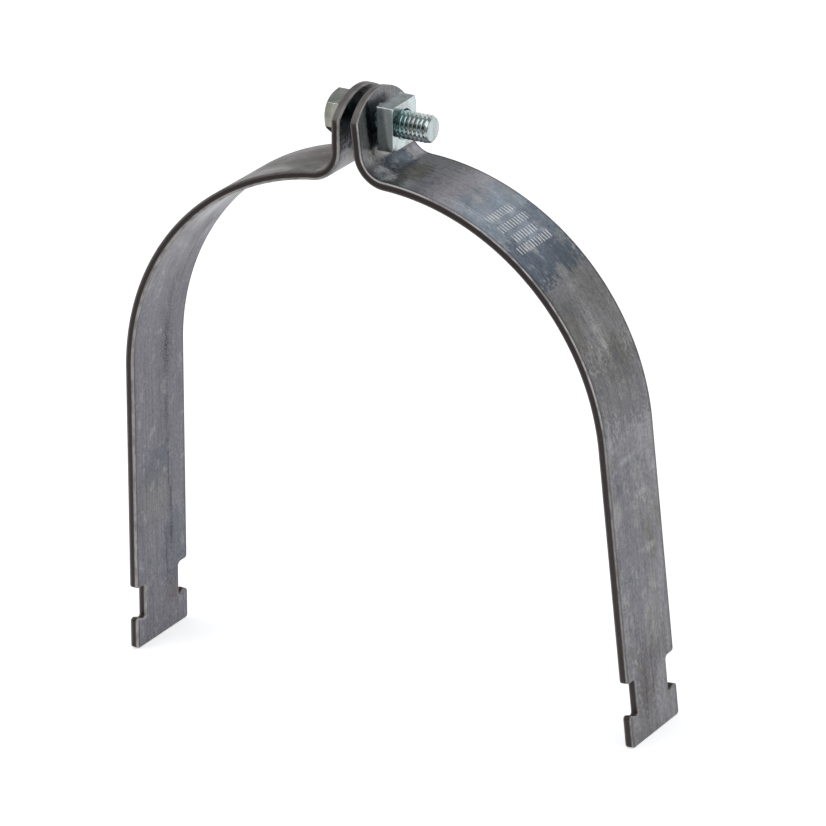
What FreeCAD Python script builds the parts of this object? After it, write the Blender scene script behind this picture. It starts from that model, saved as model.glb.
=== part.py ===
"""Two-piece conduit clamp for a strut channel, for 6 in standard pipe.

Two bent steel straps hang on one hex head screw with a square nut. Frame, in millimetres:
origin on the pipe axis in the mid-plane between the straps, +X across the pipe towards the
nut, +Y along the pipe, +Z up towards the ears.
"""
import FreeCAD, Part
import math
import os

import Sketcher

SIZES = {
    # pipe and strip
    "pipe_diameter": 168.3,
    "strap_width": 31.75,
    "strap_thickness": 3.04,
    "ear_gap": 3.1,
    "bend_radius": 8.8,
    # ear, measured up from where its bend ends
    "ear_height": 18.55,
    "ear_round_drop": 7.9,
    "hole_rise": 7.95,
    "hole_diameter": 11.11,
    # foot: shoulders down from the pipe axis, then the notch, then the hooks
    "shoulder_depth": 82.2,
    "notch_height": 11.1,
    "hook_length": 11.75,
    "hook_undercut": 2.0,
    "neck_width": 20.8,
    "shoulder_fillet": 1.5,
    "undercut_fillet": 0.8,
    "foot_corner_fillet": 1.2,
    # how the loose straps and the screw hang
    "splay_angle": 3.3,
    "screw_tilt": 2.65,
    "head_side_lift": 0.1,
    "hang_clearance": 0.1,
    # screw
    "screw_diameter": 9.525,
    "screw_length": 31.75,
    "tip_chamfer": 0.8,
    "head_flats": 14.1,
    "head_height": 6.0,
    "head_chamfer_angle": 32.0,
    "head_chamfer_inset": 0.45,
    "head_bearing_chamfer": 0.3,
    "head_turn": 9.0,
    "head_clearance": 2.25,
    # nut
    "nut_flats": 15.4,
    "nut_thickness": 6.1,
    "nut_clearance": 0.15,
    "nut_corner_fillet": 0.6,
    "nut_chamfer_angle": 25.0,
    "nut_chamfer_start": 2.2,
    "nut_turn": -1.2,
    "bore_clearance": 0.04,
    "bore_chamfer": 0.6,
}

# Sizes that follow from the ones above, each as an expression on the sheet.
DERIVED = {
    "pipe_radius": "Sizes.pipe_diameter / 2",
    "half_width": "Sizes.strap_width / 2",
    "ear_face": "Sizes.ear_gap / 2",
    "bend_reach": "ear_face + Sizes.strap_thickness + Sizes.bend_radius",
    "bend_distance": "pipe_radius + Sizes.strap_thickness + Sizes.bend_radius",
    "bend_height": "sqrt(bend_distance ^ 2 - bend_reach ^ 2)",
    "ear_top": "bend_height + Sizes.ear_height",
    "ear_corner": "ear_top - Sizes.ear_round_drop",
    "ear_round_radius":
        "(half_width ^ 2 + Sizes.ear_round_drop ^ 2) / (2 * Sizes.ear_round_drop)",
    "hole_height": "bend_height + Sizes.hole_rise",
    "neck_half": "Sizes.neck_width / 2",
    "hook_depth": "Sizes.shoulder_depth + Sizes.notch_height",
    "foot_depth": "hook_depth + Sizes.hook_length",
    # the tilted ear, seen along the pipe, and its lean against the tilted screw on each side
    "slope": "tan(Sizes.splay_angle * 1 deg)",
    "tilted_half": "Sizes.strap_thickness / 2 / cos(Sizes.splay_angle * 1 deg)",
    "pivot_reach": "ear_face + Sizes.strap_thickness / 2",
    "head_lean": "(Sizes.splay_angle - Sizes.screw_tilt) * 1 deg",
    "nut_lean": "(Sizes.splay_angle + Sizes.screw_tilt) * 1 deg",
    # the screw's height above the pipe axis, where it passes midway between the straps
    "screw_radius": "Sizes.screw_diameter / 2",
    "hole_squeeze": "tilted_half * tan(nut_lean)",
    "hole_reach": "pivot_reach + (ear_top - hole_height) * slope",
    "screw_height":
        "hole_height + hole_reach * tan(Sizes.screw_tilt * 1 deg)"
        " - (Sizes.hole_diameter / 2 - screw_radius - hole_squeeze - Sizes.hang_clearance)",
    # where the screw's axis meets each ear's outer face, measured along it from midway
    "face_reach": "pivot_reach + tilted_half + (ear_top - screw_height) * slope",
    "head_face":
        "(face_reach + Sizes.head_side_lift * slope) * cos(Sizes.splay_angle * 1 deg)"
        " / cos(head_lean)",
    "nut_face": "face_reach * cos(Sizes.splay_angle * 1 deg) / cos(nut_lean)",
    "head_drop":
        "(ear_top + Sizes.head_side_lift - screw_height"
        " - head_face * sin(Sizes.screw_tilt * 1 deg)) / cos(Sizes.splay_angle * 1 deg)",
    "nut_drop":
        "(ear_top - screw_height + nut_face * sin(Sizes.screw_tilt * 1 deg))"
        " / cos(Sizes.splay_angle * 1 deg)",
    # how far out the ear and the start of its bend reach beside the head and the nut
    "face_shift": "Sizes.strap_thickness / 2 * slope",
    "head_corner": "Sizes.head_flats / sqrt(3)",
    "nut_corner": "Sizes.nut_flats / sqrt(2)",
    "nut_sweep": "nut_corner - Sizes.nut_corner_fillet * (sqrt(2) - 1)",
    "head_below_bend": "max(0; head_corner + head_drop + face_shift - Sizes.ear_height)",
    "nut_below_bend": "max(0; nut_sweep + nut_drop + face_shift - Sizes.ear_height)",
    "head_bulge":
        "Sizes.bend_radius - sqrt(max(0; Sizes.bend_radius ^ 2 - head_below_bend ^ 2))",
    "nut_bulge":
        "Sizes.bend_radius - sqrt(max(0; Sizes.bend_radius ^ 2 - nut_below_bend ^ 2))",
    "head_seat":
        "head_face + head_corner * tan(head_lean) + head_bulge + Sizes.head_clearance",
    "nut_seat":
        "nut_face + nut_sweep * tan(nut_lean) + nut_bulge + Sizes.nut_clearance",
    "head_outer": "head_seat + Sizes.head_height",
    "nut_outer": "nut_seat + Sizes.nut_thickness",
    "screw_reach": "Sizes.screw_length - head_seat",
    "bore_radius": "screw_radius + Sizes.bore_clearance",
}

# how far a cutting outline reaches beyond the piece, in mm
CUT_MARGIN = 2.0
# a cut that removes less than this, in mm3, has missed
LEAST_CUT = 1e-3
# cosine above which two directions count as parallel
PARALLEL = 1 - 1e-6
# how near an edge's middle is to the place that names it, in mm
EDGE_REACH = 0.05

doc = FreeCAD.newDocument("conduit_clamp")


def make_sheet():
    """The driving dimensions, one row each: name, number, alias."""
    sheet = doc.addObject("Spreadsheet::Sheet", "Sizes")
    for row, (alias, number) in enumerate(SIZES.items(), start=1):
        sheet.set(f"A{row}", alias.replace("_", " "))
        sheet.set(f"B{row}", str(number))
        sheet.setAlias(f"B{row}", alias)
    return sheet


def make_derived():
    """The dimensions that follow from the sheet, bound to it."""
    derived = doc.addObject("App::VarSet", "Derived")
    for name, expression in DERIVED.items():
        derived.addProperty("App::PropertyFloat", name, "Derived")
        derived.setExpression(name, expression)
    return derived


sizes = make_sheet()
doc.recompute()
derived = make_derived()
doc.recompute()


def size(name):
    """The present number of a driving or derived dimension."""
    if name in SIZES:
        return float(sizes.get(name))
    return float(getattr(derived, name))


def point(x, y):
    return FreeCAD.Vector(x, y, 0)


def origin_plane(body, role):
    return next(item for item in body.Origin.OriginFeatures if item.Role == role)


def add_sketch(body, role, name, offset=None):
    """A sketch on a plane of its body's origin, moved along its normal by an expression."""
    sketch = body.newObject("Sketcher::SketchObject", name)
    sketch.AttachmentSupport = [(origin_plane(body, role), "")]
    sketch.MapMode = "FlatFace"
    if offset:
        sketch.setExpression("AttachmentOffset.Base.z", offset)
    return sketch


def bind(sketch, constraint, expression):
    """Add a dimension to a sketch and tie it to the sheet."""
    index = sketch.addConstraint(constraint)
    sketch.setExpression(f"Constraints[{index}]", expression)


def fix_point(sketch, geometry, end, across, up):
    """Dimension a point from the origin: an expression for each of its two coordinates, with
    its sign written in front. A coordinate of None stays free. The point starts where it was
    drawn, so that the sketch never turns itself inside out."""
    drawn = sketch.getPoint(geometry, end)
    for kind, expression, here in (("DistanceX", across, drawn.x), ("DistanceY", up, drawn.y)):
        if expression is None:
            continue
        if expression == "0":
            axis = -2 if kind == "DistanceX" else -1
            sketch.addConstraint(Sketcher.Constraint("PointOnObject", geometry, end, axis))
        elif expression.startswith("-"):
            bind(sketch, Sketcher.Constraint(kind, geometry, end, -1, 1, -here), expression[1:])
        else:
            bind(sketch, Sketcher.Constraint(kind, -1, 1, geometry, end, here), expression)


def add_polygon(sketch, corners):
    """A closed polygon from rough corners (x, y) and their expressions (across, up)."""
    first = sketch.GeometryCount
    count = len(corners)
    for place in range(count):
        start = corners[place]
        end = corners[(place + 1) % count]
        sketch.addGeometry(Part.LineSegment(point(*start[0]), point(*end[0])), False)
    for place in range(count):
        following = first + (place + 1) % count
        sketch.addConstraint(Sketcher.Constraint("Coincident", first + place, 2, following, 1))
    for place, (rough, expressions) in enumerate(corners):
        fix_point(sketch, first + place, 1, *expressions)
    return first


def add_circle(sketch, rough_radius, radius, height=None):
    """A circle on the vertical axis of the sketch."""
    rough_height = size("hole_height") if height else 0
    circle = Part.Circle(point(0, rough_height), FreeCAD.Vector(0, 0, 1), rough_radius)
    index = sketch.addGeometry(circle, False)
    bind(sketch, Sketcher.Constraint("Radius", index, rough_radius), radius)
    fix_point(sketch, index, 3, "0", height or "0")


def volume(body):
    """The body's volume, and 0 while it is still empty."""
    return 0.0 if body.Shape.isNull() else body.Shape.Volume


def cut_through(body, sketch, name):
    """Cut a sketch right through the body, along its plane's normal."""
    before = volume(body)
    pocket = body.newObject("PartDesign::Pocket", name)
    pocket.Profile = sketch
    pocket.Type = "ThroughAll"
    pocket.Reversed = True
    doc.recompute()
    if volume(body) > before - LEAST_CUT:
        raise RuntimeError(f"{name} cuts nothing from {body.Label}")


def edges_along(body, direction, places):
    """Names of the straight edges along a direction whose middle is at one of the places,
    each given as (across, up)."""
    names = []
    for number, edge in enumerate(body.Tip.Shape.Edges, start=1):
        if not isinstance(edge.Curve, Part.Line):
            continue
        along = edge.tangentAt(edge.FirstParameter)
        if abs(along.dot(direction)) < PARALLEL:
            continue
        middle = edge.CenterOfMass
        for across, up in places:
            if abs(middle.y - across) < EDGE_REACH and abs(middle.z - up) < EDGE_REACH:
                names.append(f"Edge{number}")
    return names


def add_fillet(body, name, edges, radius):
    base = body.Tip
    fillet = body.newObject("PartDesign::Fillet", name)
    fillet.Base = (base, edges)
    fillet.Radius = size(radius.split(".")[1])
    fillet.setExpression("Radius", radius)
    doc.recompute()


def strip_profile(body):
    """The bent strip seen along the pipe: ear, bend, quarter turn round the pipe, leg."""
    sketch = add_sketch(body, "XZ_Plane", body.Name + "_profile")
    inner = size("pipe_radius")
    outer = inner + size("strap_thickness")
    ear_in = size("ear_face")
    ear_out = ear_in + size("strap_thickness")
    top = size("ear_top")
    foot = -size("foot_depth")
    bend_centre = point(size("bend_reach"), size("bend_height"))
    bend_out = size("bend_radius")
    bend_in = bend_out + size("strap_thickness")
    lean = math.atan2(size("bend_height"), size("bend_reach"))
    axis = FreeCAD.Vector(0, 0, 1)

    def line(x1, y1, x2, y2):
        return sketch.addGeometry(Part.LineSegment(point(x1, y1), point(x2, y2)), False)

    def arc(centre, radius, start, end):
        circle = Part.Circle(centre, axis, radius)
        return sketch.addGeometry(Part.ArcOfCircle(circle, start, end), False)

    def tie(kind, *where):
        sketch.addConstraint(Sketcher.Constraint(kind, *where))

    ear_inside = line(ear_in, top, ear_in, bend_centre.y)
    bend_inside = arc(bend_centre, bend_in, math.pi, math.pi + lean)
    turn_inside = arc(point(0, 0), inner, 0, lean)
    leg_inside = line(inner, 0, inner, foot)
    foot_end = line(inner, foot, outer, foot)
    leg_outside = line(outer, foot, outer, 0)
    turn_outside = arc(point(0, 0), outer, 0, lean)
    bend_outside = arc(bend_centre, bend_out, math.pi, math.pi + lean)
    ear_outside = line(ear_out, bend_centre.y, ear_out, top)
    ear_end = line(ear_out, top, ear_in, top)

    tie("Tangent", ear_inside, 2, bend_inside, 1)
    tie("Tangent", bend_inside, 2, turn_inside, 2)
    tie("Tangent", turn_inside, 1, leg_inside, 1)
    tie("Coincident", leg_inside, 2, foot_end, 1)
    tie("Coincident", foot_end, 2, leg_outside, 1)
    tie("Tangent", leg_outside, 2, turn_outside, 1)
    tie("Tangent", turn_outside, 2, bend_outside, 2)
    tie("Tangent", bend_outside, 1, ear_outside, 1)
    tie("Coincident", ear_outside, 2, ear_end, 1)
    tie("Coincident", ear_end, 2, ear_inside, 1)
    for upright in (ear_inside, leg_inside, leg_outside, ear_outside):
        tie("Vertical", upright)
    for level in (foot_end, ear_end):
        tie("Horizontal", level)
    tie("Coincident", turn_inside, 3, -1, 1)
    tie("Coincident", turn_outside, 3, -1, 1)
    tie("Coincident", bend_inside, 3, bend_outside, 3)
    bind(sketch, Sketcher.Constraint("Radius", turn_inside, inner), "Derived.pipe_radius")
    bind(sketch, Sketcher.Constraint("Radius", turn_outside, outer),
         "Derived.pipe_radius + Sizes.strap_thickness")
    bind(sketch, Sketcher.Constraint("Radius", bend_outside, bend_out), "Sizes.bend_radius")
    fix_point(sketch, ear_inside, 1, "Derived.ear_face", "Derived.ear_top")
    fix_point(sketch, foot_end, 1, None, "-Derived.foot_depth")
    return sketch


def ear_round(body):
    """Cut the top of the ear to its low round, which meets the long edges at a corner."""
    sketch = add_sketch(body, "YZ_Plane", body.Name + "_ear_outline")
    half = size("half_width")
    corner = size("ear_corner")
    top = size("ear_top")
    radius = size("ear_round_radius")
    wide = half + CUT_MARGIN
    high = top + CUT_MARGIN
    swing = math.asin(half / radius)
    round_circle = Part.Circle(point(0, top - radius), FreeCAD.Vector(0, 0, 1), radius)
    top_round = sketch.addGeometry(
        Part.ArcOfCircle(round_circle, math.pi / 2 - swing, math.pi / 2 + swing), False)
    stops = [(half, corner), (wide, corner), (wide, high), (-wide, high), (-wide, corner),
             (-half, corner)]
    lines = [
        sketch.addGeometry(Part.LineSegment(point(*start), point(*end)), False)
        for start, end in zip(stops, stops[1:])
    ]
    sketch.addConstraint(Sketcher.Constraint("Coincident", top_round, 1, lines[0], 1))
    for before, after in zip(lines, lines[1:]):
        sketch.addConstraint(Sketcher.Constraint("Coincident", before, 2, after, 1))
    sketch.addConstraint(Sketcher.Constraint("Coincident", lines[-1], 2, top_round, 2))
    fix_point(sketch, top_round, 3, "0", None)
    bind(sketch, Sketcher.Constraint("Radius", top_round, radius), "Derived.ear_round_radius")
    beyond = f"Derived.half_width + {CUT_MARGIN}"
    above = f"Derived.ear_top + {CUT_MARGIN}"
    fix_point(sketch, lines[0], 1, "Derived.half_width", "Derived.ear_corner")
    fix_point(sketch, lines[1], 1, beyond, "Derived.ear_corner")
    fix_point(sketch, lines[2], 1, beyond, above)
    fix_point(sketch, lines[3], 1, "-(" + beyond + ")", above)
    fix_point(sketch, lines[4], 1, "-(" + beyond + ")", "Derived.ear_corner")
    fix_point(sketch, lines[4], 2, None, "Derived.ear_corner")
    return sketch


def foot_notches(body):
    """The pair of side notches that leave the neck and the two undercut hooks of the foot."""
    sketch = add_sketch(body, "YZ_Plane", body.Name + "_foot_outline")
    half = size("half_width")
    neck = size("neck_half")
    wide = half + CUT_MARGIN
    shoulder = size("shoulder_depth")
    hook = size("hook_depth")
    root = hook + size("hook_undercut")
    rise = f"Sizes.hook_undercut / (Derived.half_width - Derived.neck_half) * {CUT_MARGIN}"
    beyond = f"Derived.half_width + {CUT_MARGIN}"
    for sign in ("", "-"):
        side = -1 if sign else 1
        add_polygon(sketch, [
            ((side * wide, -shoulder), (f"{sign}({beyond})", "-Sizes.shoulder_depth")),
            ((side * neck, -shoulder), (f"{sign}Derived.neck_half", "-Sizes.shoulder_depth")),
            ((side * neck, -root),
             (f"{sign}Derived.neck_half", "-(Derived.hook_depth + Sizes.hook_undercut)")),
            ((side * wide, -hook), (f"{sign}({beyond})", f"-(Derived.hook_depth - {rise})")),
        ])
    return sketch


def strap_half(name, label):
    """One strap, in the position it takes when the clamp is drawn up on the pipe."""
    body = doc.addObject("PartDesign::Body", name)
    body.Label = label
    pad = body.newObject("PartDesign::Pad", name + "_strip")
    pad.Profile = strip_profile(body)
    pad.SideType = "Symmetric"
    pad.setExpression("Length", "Sizes.strap_width")
    doc.recompute()
    cut_through(body, ear_round(body), name + "_ear")
    cut_through(body, foot_notches(body), name + "_foot")
    hole = add_sketch(body, "YZ_Plane", name + "_hole_outline")
    add_circle(hole, size("hole_diameter") / 2, "Sizes.hole_diameter / 2", "Derived.hole_height")
    cut_through(body, hole, name + "_hole")

    across = FreeCAD.Vector(1, 0, 0)
    half = size("half_width")
    neck = size("neck_half")
    shoulder = -size("shoulder_depth")
    hook = -size("hook_depth")
    undercut = hook - size("hook_undercut")
    foot = -size("foot_depth")
    corners = edges_along(body, across, [
        (side * half, up) for side in (1, -1) for up in (shoulder, hook, foot)])
    add_fillet(body, name + "_corners", corners, "Sizes.foot_corner_fillet")
    roots = edges_along(body, across, [(side * neck, shoulder) for side in (1, -1)])
    add_fillet(body, name + "_shoulders", roots, "Sizes.shoulder_fillet")
    pockets = edges_along(body, across, [(side * neck, undercut) for side in (1, -1)])
    add_fillet(body, name + "_undercuts", pockets, "Sizes.undercut_fillet")
    return body


def splay(body, yaw, lift="0"):
    """Let a strap hang as it does with the screw loose: its leg swings outward about the top
    of the ear. A yaw of 180 degrees puts it on the head's side."""
    body.Placement = FreeCAD.Placement(
        FreeCAD.Vector(), FreeCAD.Rotation(yaw, -size("splay_angle"), 0))
    angle = "(Sizes.splay_angle * 1 deg)"
    shift_x = (f"Derived.pivot_reach * (1 - cos{angle}) + Derived.ear_top * sin{angle}")
    shift_z = (f"Derived.ear_top * (1 - cos{angle}) - Derived.pivot_reach * sin{angle}")
    sign = "-" if yaw else ""
    body.setExpression("Placement.Base.x", f"{sign}({shift_x})")
    body.setExpression("Placement.Base.z", f"{shift_z} + {lift}")
    doc.recompute()


def revolve_round_screw(body, sketch, kind, name):
    before = volume(body)
    feature = body.newObject("PartDesign::" + kind, name)
    feature.Profile = sketch
    feature.ReferenceAxis = (sketch, ["H_Axis"])
    feature.Angle = 360
    doc.recompute()
    if abs(volume(body) - before) < LEAST_CUT:
        raise RuntimeError(f"{name} changes nothing on {body.Label}")


def bevel_edge(body, name, side, face, start, corner, angle):
    """Turn the corners of a head or nut off to a cone, from a radius on the face at that
    distance along the axis, to beyond the corners. A negative angle bevels the other face."""
    tilt = f"tan(abs({angle}) * 1 deg)"
    inward = "+" if angle.startswith("-") else "-"
    beyond = f"({corner} + {CUT_MARGIN})"
    back = f"({face} {inward} ({beyond} - ({start})) * {tilt})"
    sign = "-" if side < 0 else ""
    sketch = add_sketch(body, "XZ_Plane", name + "_outline")
    rough_face = side * size(face.split(".")[1])
    rough_corner = size(corner.split(".")[1])
    rough_back = rough_face + side * (CUT_MARGIN if inward == "+" else -CUT_MARGIN)
    add_polygon(sketch, [
        ((rough_face, rough_corner - CUT_MARGIN), (sign + face, start)),
        ((rough_face, rough_corner + CUT_MARGIN), (sign + face, beyond)),
        ((rough_back, rough_corner + CUT_MARGIN), (sign + back, beyond)),
    ])
    revolve_round_screw(body, sketch, "Groove", name)


def hex_screw():
    """Hex head screw: turned shank, forged head with bevelled corners."""
    body = doc.addObject("PartDesign::Body", "HexScrew")
    body.Label = "hex_screw"
    shank = add_sketch(body, "XZ_Plane", "ShankProfile")
    back = -size("head_seat")
    reach = size("screw_reach")
    radius = size("screw_radius")
    chamfer = size("tip_chamfer")
    add_polygon(shank, [
        ((back, 0), ("-Derived.head_seat", "0")),
        ((back, radius), ("-Derived.head_seat", "Derived.screw_radius")),
        ((reach - chamfer, radius),
         ("Derived.screw_reach - Sizes.tip_chamfer", "Derived.screw_radius")),
        ((reach, radius - chamfer),
         ("Derived.screw_reach", "Derived.screw_radius - Sizes.tip_chamfer")),
        ((reach, 0), ("Derived.screw_reach", "0")),
    ])
    revolve_round_screw(body, shank, "Revolution", "Shank")

    outer = "-Derived.head_outer"
    head = add_sketch(body, "YZ_Plane", "HeadOutline", outer)
    corner = size("head_corner")
    corners = [point(corner * math.sin(math.radians(60 * k)), corner * math.cos(math.radians(60 * k)))
               for k in range(6)]
    for k in range(6):
        head.addGeometry(Part.LineSegment(corners[k], corners[(k + 1) % 6]), False)
    circle = head.addGeometry(Part.Circle(point(0, 0), FreeCAD.Vector(0, 0, 1), corner), True)
    for k in range(6):
        head.addConstraint(Sketcher.Constraint("Coincident", k, 2, (k + 1) % 6, 1))
        head.addConstraint(Sketcher.Constraint("PointOnObject", k, 1, circle))
    for k in range(1, 6):
        head.addConstraint(Sketcher.Constraint("Equal", 0, k))
    head.addConstraint(Sketcher.Constraint("Coincident", circle, 3, -1, 1))
    head.addConstraint(Sketcher.Constraint("PointOnObject", 0, 1, -2))
    bind(head, Sketcher.Constraint("Radius", circle, corner), "Derived.head_corner")
    pad = body.newObject("PartDesign::Pad", "Head")
    pad.Profile = head
    pad.setExpression("Length", "Sizes.head_height")
    doc.recompute()

    flat = "Sizes.head_flats / 2"
    bevel_edge(body, "HeadBevel", -1, "Derived.head_outer", flat + " - Sizes.head_chamfer_inset",
               "Derived.head_corner", "Sizes.head_chamfer_angle")
    bevel_edge(body, "BearingBevel", -1, "Derived.head_seat",
               flat + " + Sizes.head_bearing_chamfer", "Derived.head_corner",
               "-Sizes.head_chamfer_angle")
    return body


def square_nut():
    """Square nut with rounded corners, its outer face and bore chamfered."""
    body = doc.addObject("PartDesign::Body", "SquareNut")
    body.Label = "square_nut"
    outline = add_sketch(body, "YZ_Plane", "NutOutline", "Derived.nut_seat")
    half = size("nut_flats") / 2
    flat = "Sizes.nut_flats / 2"
    add_polygon(outline, [
        ((half, half), (flat, flat)),
        ((-half, half), ("-" + flat, flat)),
        ((-half, -half), ("-" + flat, "-" + flat)),
        ((half, -half), (flat, "-" + flat)),
    ])
    pad = body.newObject("PartDesign::Pad", "NutBlock")
    pad.Profile = outline
    pad.setExpression("Length", "Sizes.nut_thickness")
    doc.recompute()
    corners = edges_along(body, FreeCAD.Vector(1, 0, 0), [
        (half, half), (-half, half), (-half, -half), (half, -half)])
    add_fillet(body, "NutCorners", corners, "Sizes.nut_corner_fillet")

    bore = add_sketch(body, "YZ_Plane", "BoreOutline")
    add_circle(bore, size("bore_radius"), "Derived.bore_radius")
    cut_through(body, bore, "Bore")

    bevel_edge(body, "NutBevel", 1, "Derived.nut_outer", flat + " + Sizes.nut_chamfer_start",
               "Derived.nut_corner", "Sizes.nut_chamfer_angle")

    mouth = add_sketch(body, "XZ_Plane", "BoreMouth")
    outer = size("nut_outer")
    radius = size("bore_radius")
    chamfer = size("bore_chamfer")
    inside = f"Derived.bore_radius - {CUT_MARGIN}"
    add_polygon(mouth, [
        ((outer, radius - CUT_MARGIN), ("Derived.nut_outer", inside)),
        ((outer, radius + chamfer),
         ("Derived.nut_outer", "Derived.bore_radius + Sizes.bore_chamfer")),
        ((outer - chamfer - CUT_MARGIN, radius - CUT_MARGIN),
         (f"Derived.nut_outer - Sizes.bore_chamfer - {CUT_MARGIN}", inside)),
    ])
    revolve_round_screw(body, mouth, "Groove", "BoreChamfer")
    return body


def hang_on_axis(body, turn):
    """Put a body on the tilted screw axis, turned about it by a number of degrees."""
    body.Placement = FreeCAD.Placement(
        FreeCAD.Vector(), FreeCAD.Rotation(0, size("screw_tilt"), turn))
    body.setExpression("Placement.Base.z", "Derived.screw_height")
    doc.recompute()


head_half = strap_half("HeadHalf", "strap_head_side")
nut_half = strap_half("NutHalf", "strap_nut_side")
splay(head_half, 180, "Sizes.head_side_lift")
splay(nut_half, 0)
screw = hex_screw()
nut = square_nut()
hang_on_axis(screw, -size("head_turn"))
hang_on_axis(nut, -size("nut_turn"))
doc.recompute()

for item in doc.Objects:
    if "Invalid" in item.State or "Error" in item.State:
        raise RuntimeError(f"{item.Label} failed: {item.State}")

os.makedirs("parts", exist_ok=True)
for piece in (head_half, nut_half, screw, nut):
    shape = piece.Shape
    if shape.isNull() or not shape.isValid() or len(shape.Solids) != 1:
        raise RuntimeError(f"{piece.Label} isn't one valid solid")
    shape.exportStep(f"parts/{piece.Label}.step")
    box = shape.BoundBox
    print(f"{piece.Label}: {shape.Volume:.1f} mm3, x {box.XMin:.2f} to {box.XMax:.2f}, "
          f"y {box.YMin:.2f} to {box.YMax:.2f}, z {box.ZMin:.2f} to {box.ZMax:.2f}")
print(f"screw height {size('screw_height'):.4f}, head seat {size('head_seat'):.4f}, "
      f"nut seat {size('nut_seat'):.4f}, ear top {size('ear_top'):.4f}")
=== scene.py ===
"""Looks of a two-piece conduit clamp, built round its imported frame.

Lengths are metres in the frame's own axes: +X across the pipe from the screw's head to its
nut, +Y along the pipe, +Z up from the feet to the ears, origin on the pipe's axis midway
between the straps.
"""

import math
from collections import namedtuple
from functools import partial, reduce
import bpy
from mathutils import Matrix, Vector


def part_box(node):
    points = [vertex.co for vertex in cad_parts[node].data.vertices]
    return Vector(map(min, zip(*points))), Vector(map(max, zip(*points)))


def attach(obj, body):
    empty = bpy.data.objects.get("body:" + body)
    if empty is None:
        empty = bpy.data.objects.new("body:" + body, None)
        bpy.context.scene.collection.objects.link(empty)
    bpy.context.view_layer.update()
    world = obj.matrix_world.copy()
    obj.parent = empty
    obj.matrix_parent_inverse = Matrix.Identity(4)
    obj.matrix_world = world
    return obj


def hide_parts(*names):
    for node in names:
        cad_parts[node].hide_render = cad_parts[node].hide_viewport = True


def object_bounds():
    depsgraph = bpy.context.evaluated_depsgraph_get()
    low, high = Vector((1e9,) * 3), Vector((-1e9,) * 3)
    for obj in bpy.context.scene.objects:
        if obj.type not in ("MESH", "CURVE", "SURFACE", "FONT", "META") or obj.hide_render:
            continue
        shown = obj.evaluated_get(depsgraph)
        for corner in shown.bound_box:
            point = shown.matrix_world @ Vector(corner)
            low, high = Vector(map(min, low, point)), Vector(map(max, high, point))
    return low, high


bl_info = {
    "name": "Two-piece conduit clamp",
    "version": (1, 0, 0),
    "blender": (4, 5, 0),
    "location": "3D View > Sidebar > Clamp",
    "description": "Builds the straps, screw, nut and stage of a two-piece conduit clamp",
    "category": "Object",
}

from types import SimpleNamespace

import bmesh
import bpy
from bpy.props import FloatProperty, FloatVectorProperty, IntProperty, PointerProperty
from mathutils import Matrix, Vector
from mathutils.geometry import delaunay_2d_cdt

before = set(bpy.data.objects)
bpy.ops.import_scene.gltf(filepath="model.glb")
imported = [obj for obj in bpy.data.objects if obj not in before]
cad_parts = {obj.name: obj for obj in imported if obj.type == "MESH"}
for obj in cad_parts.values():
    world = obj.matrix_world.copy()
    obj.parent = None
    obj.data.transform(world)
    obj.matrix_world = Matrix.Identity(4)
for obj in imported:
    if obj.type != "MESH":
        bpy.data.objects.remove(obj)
CAD_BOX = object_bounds()
MM = 0.001
# a piece's box may differ from its CAD node's by this much
BOX_TOLERANCE = 0.12 * MM
# points nearer to each other than this are one, in space and on the flat strip
WELD = 1e-7
FLAT_WELD = 1e-9
# faces that meet at more than this get a sharp edge between them
STRAP_SHARP = math.radians(50)
FASTENER_SHARP = math.radians(42)
# how far a cutter or a joined body reaches past a face
OVERRUN = 1 * MM


def length(name, description, millimetres):
    """A length property, its default given in millimetres."""
    return FloatProperty(name=name, description=description, default=millimetres * MM,
                         subtype="DISTANCE", unit="LENGTH", precision=5)


def angle(name, description, degrees):
    """An angle property, its default given in degrees."""
    return FloatProperty(name=name, description=description, default=math.radians(degrees),
                         subtype="ANGLE")


def tint(name, description, red, green, blue):
    """A colour property."""
    return FloatVectorProperty(name=name, description=description, size=3, subtype="COLOR",
                               default=(red, green, blue), min=0, max=1)


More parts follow.
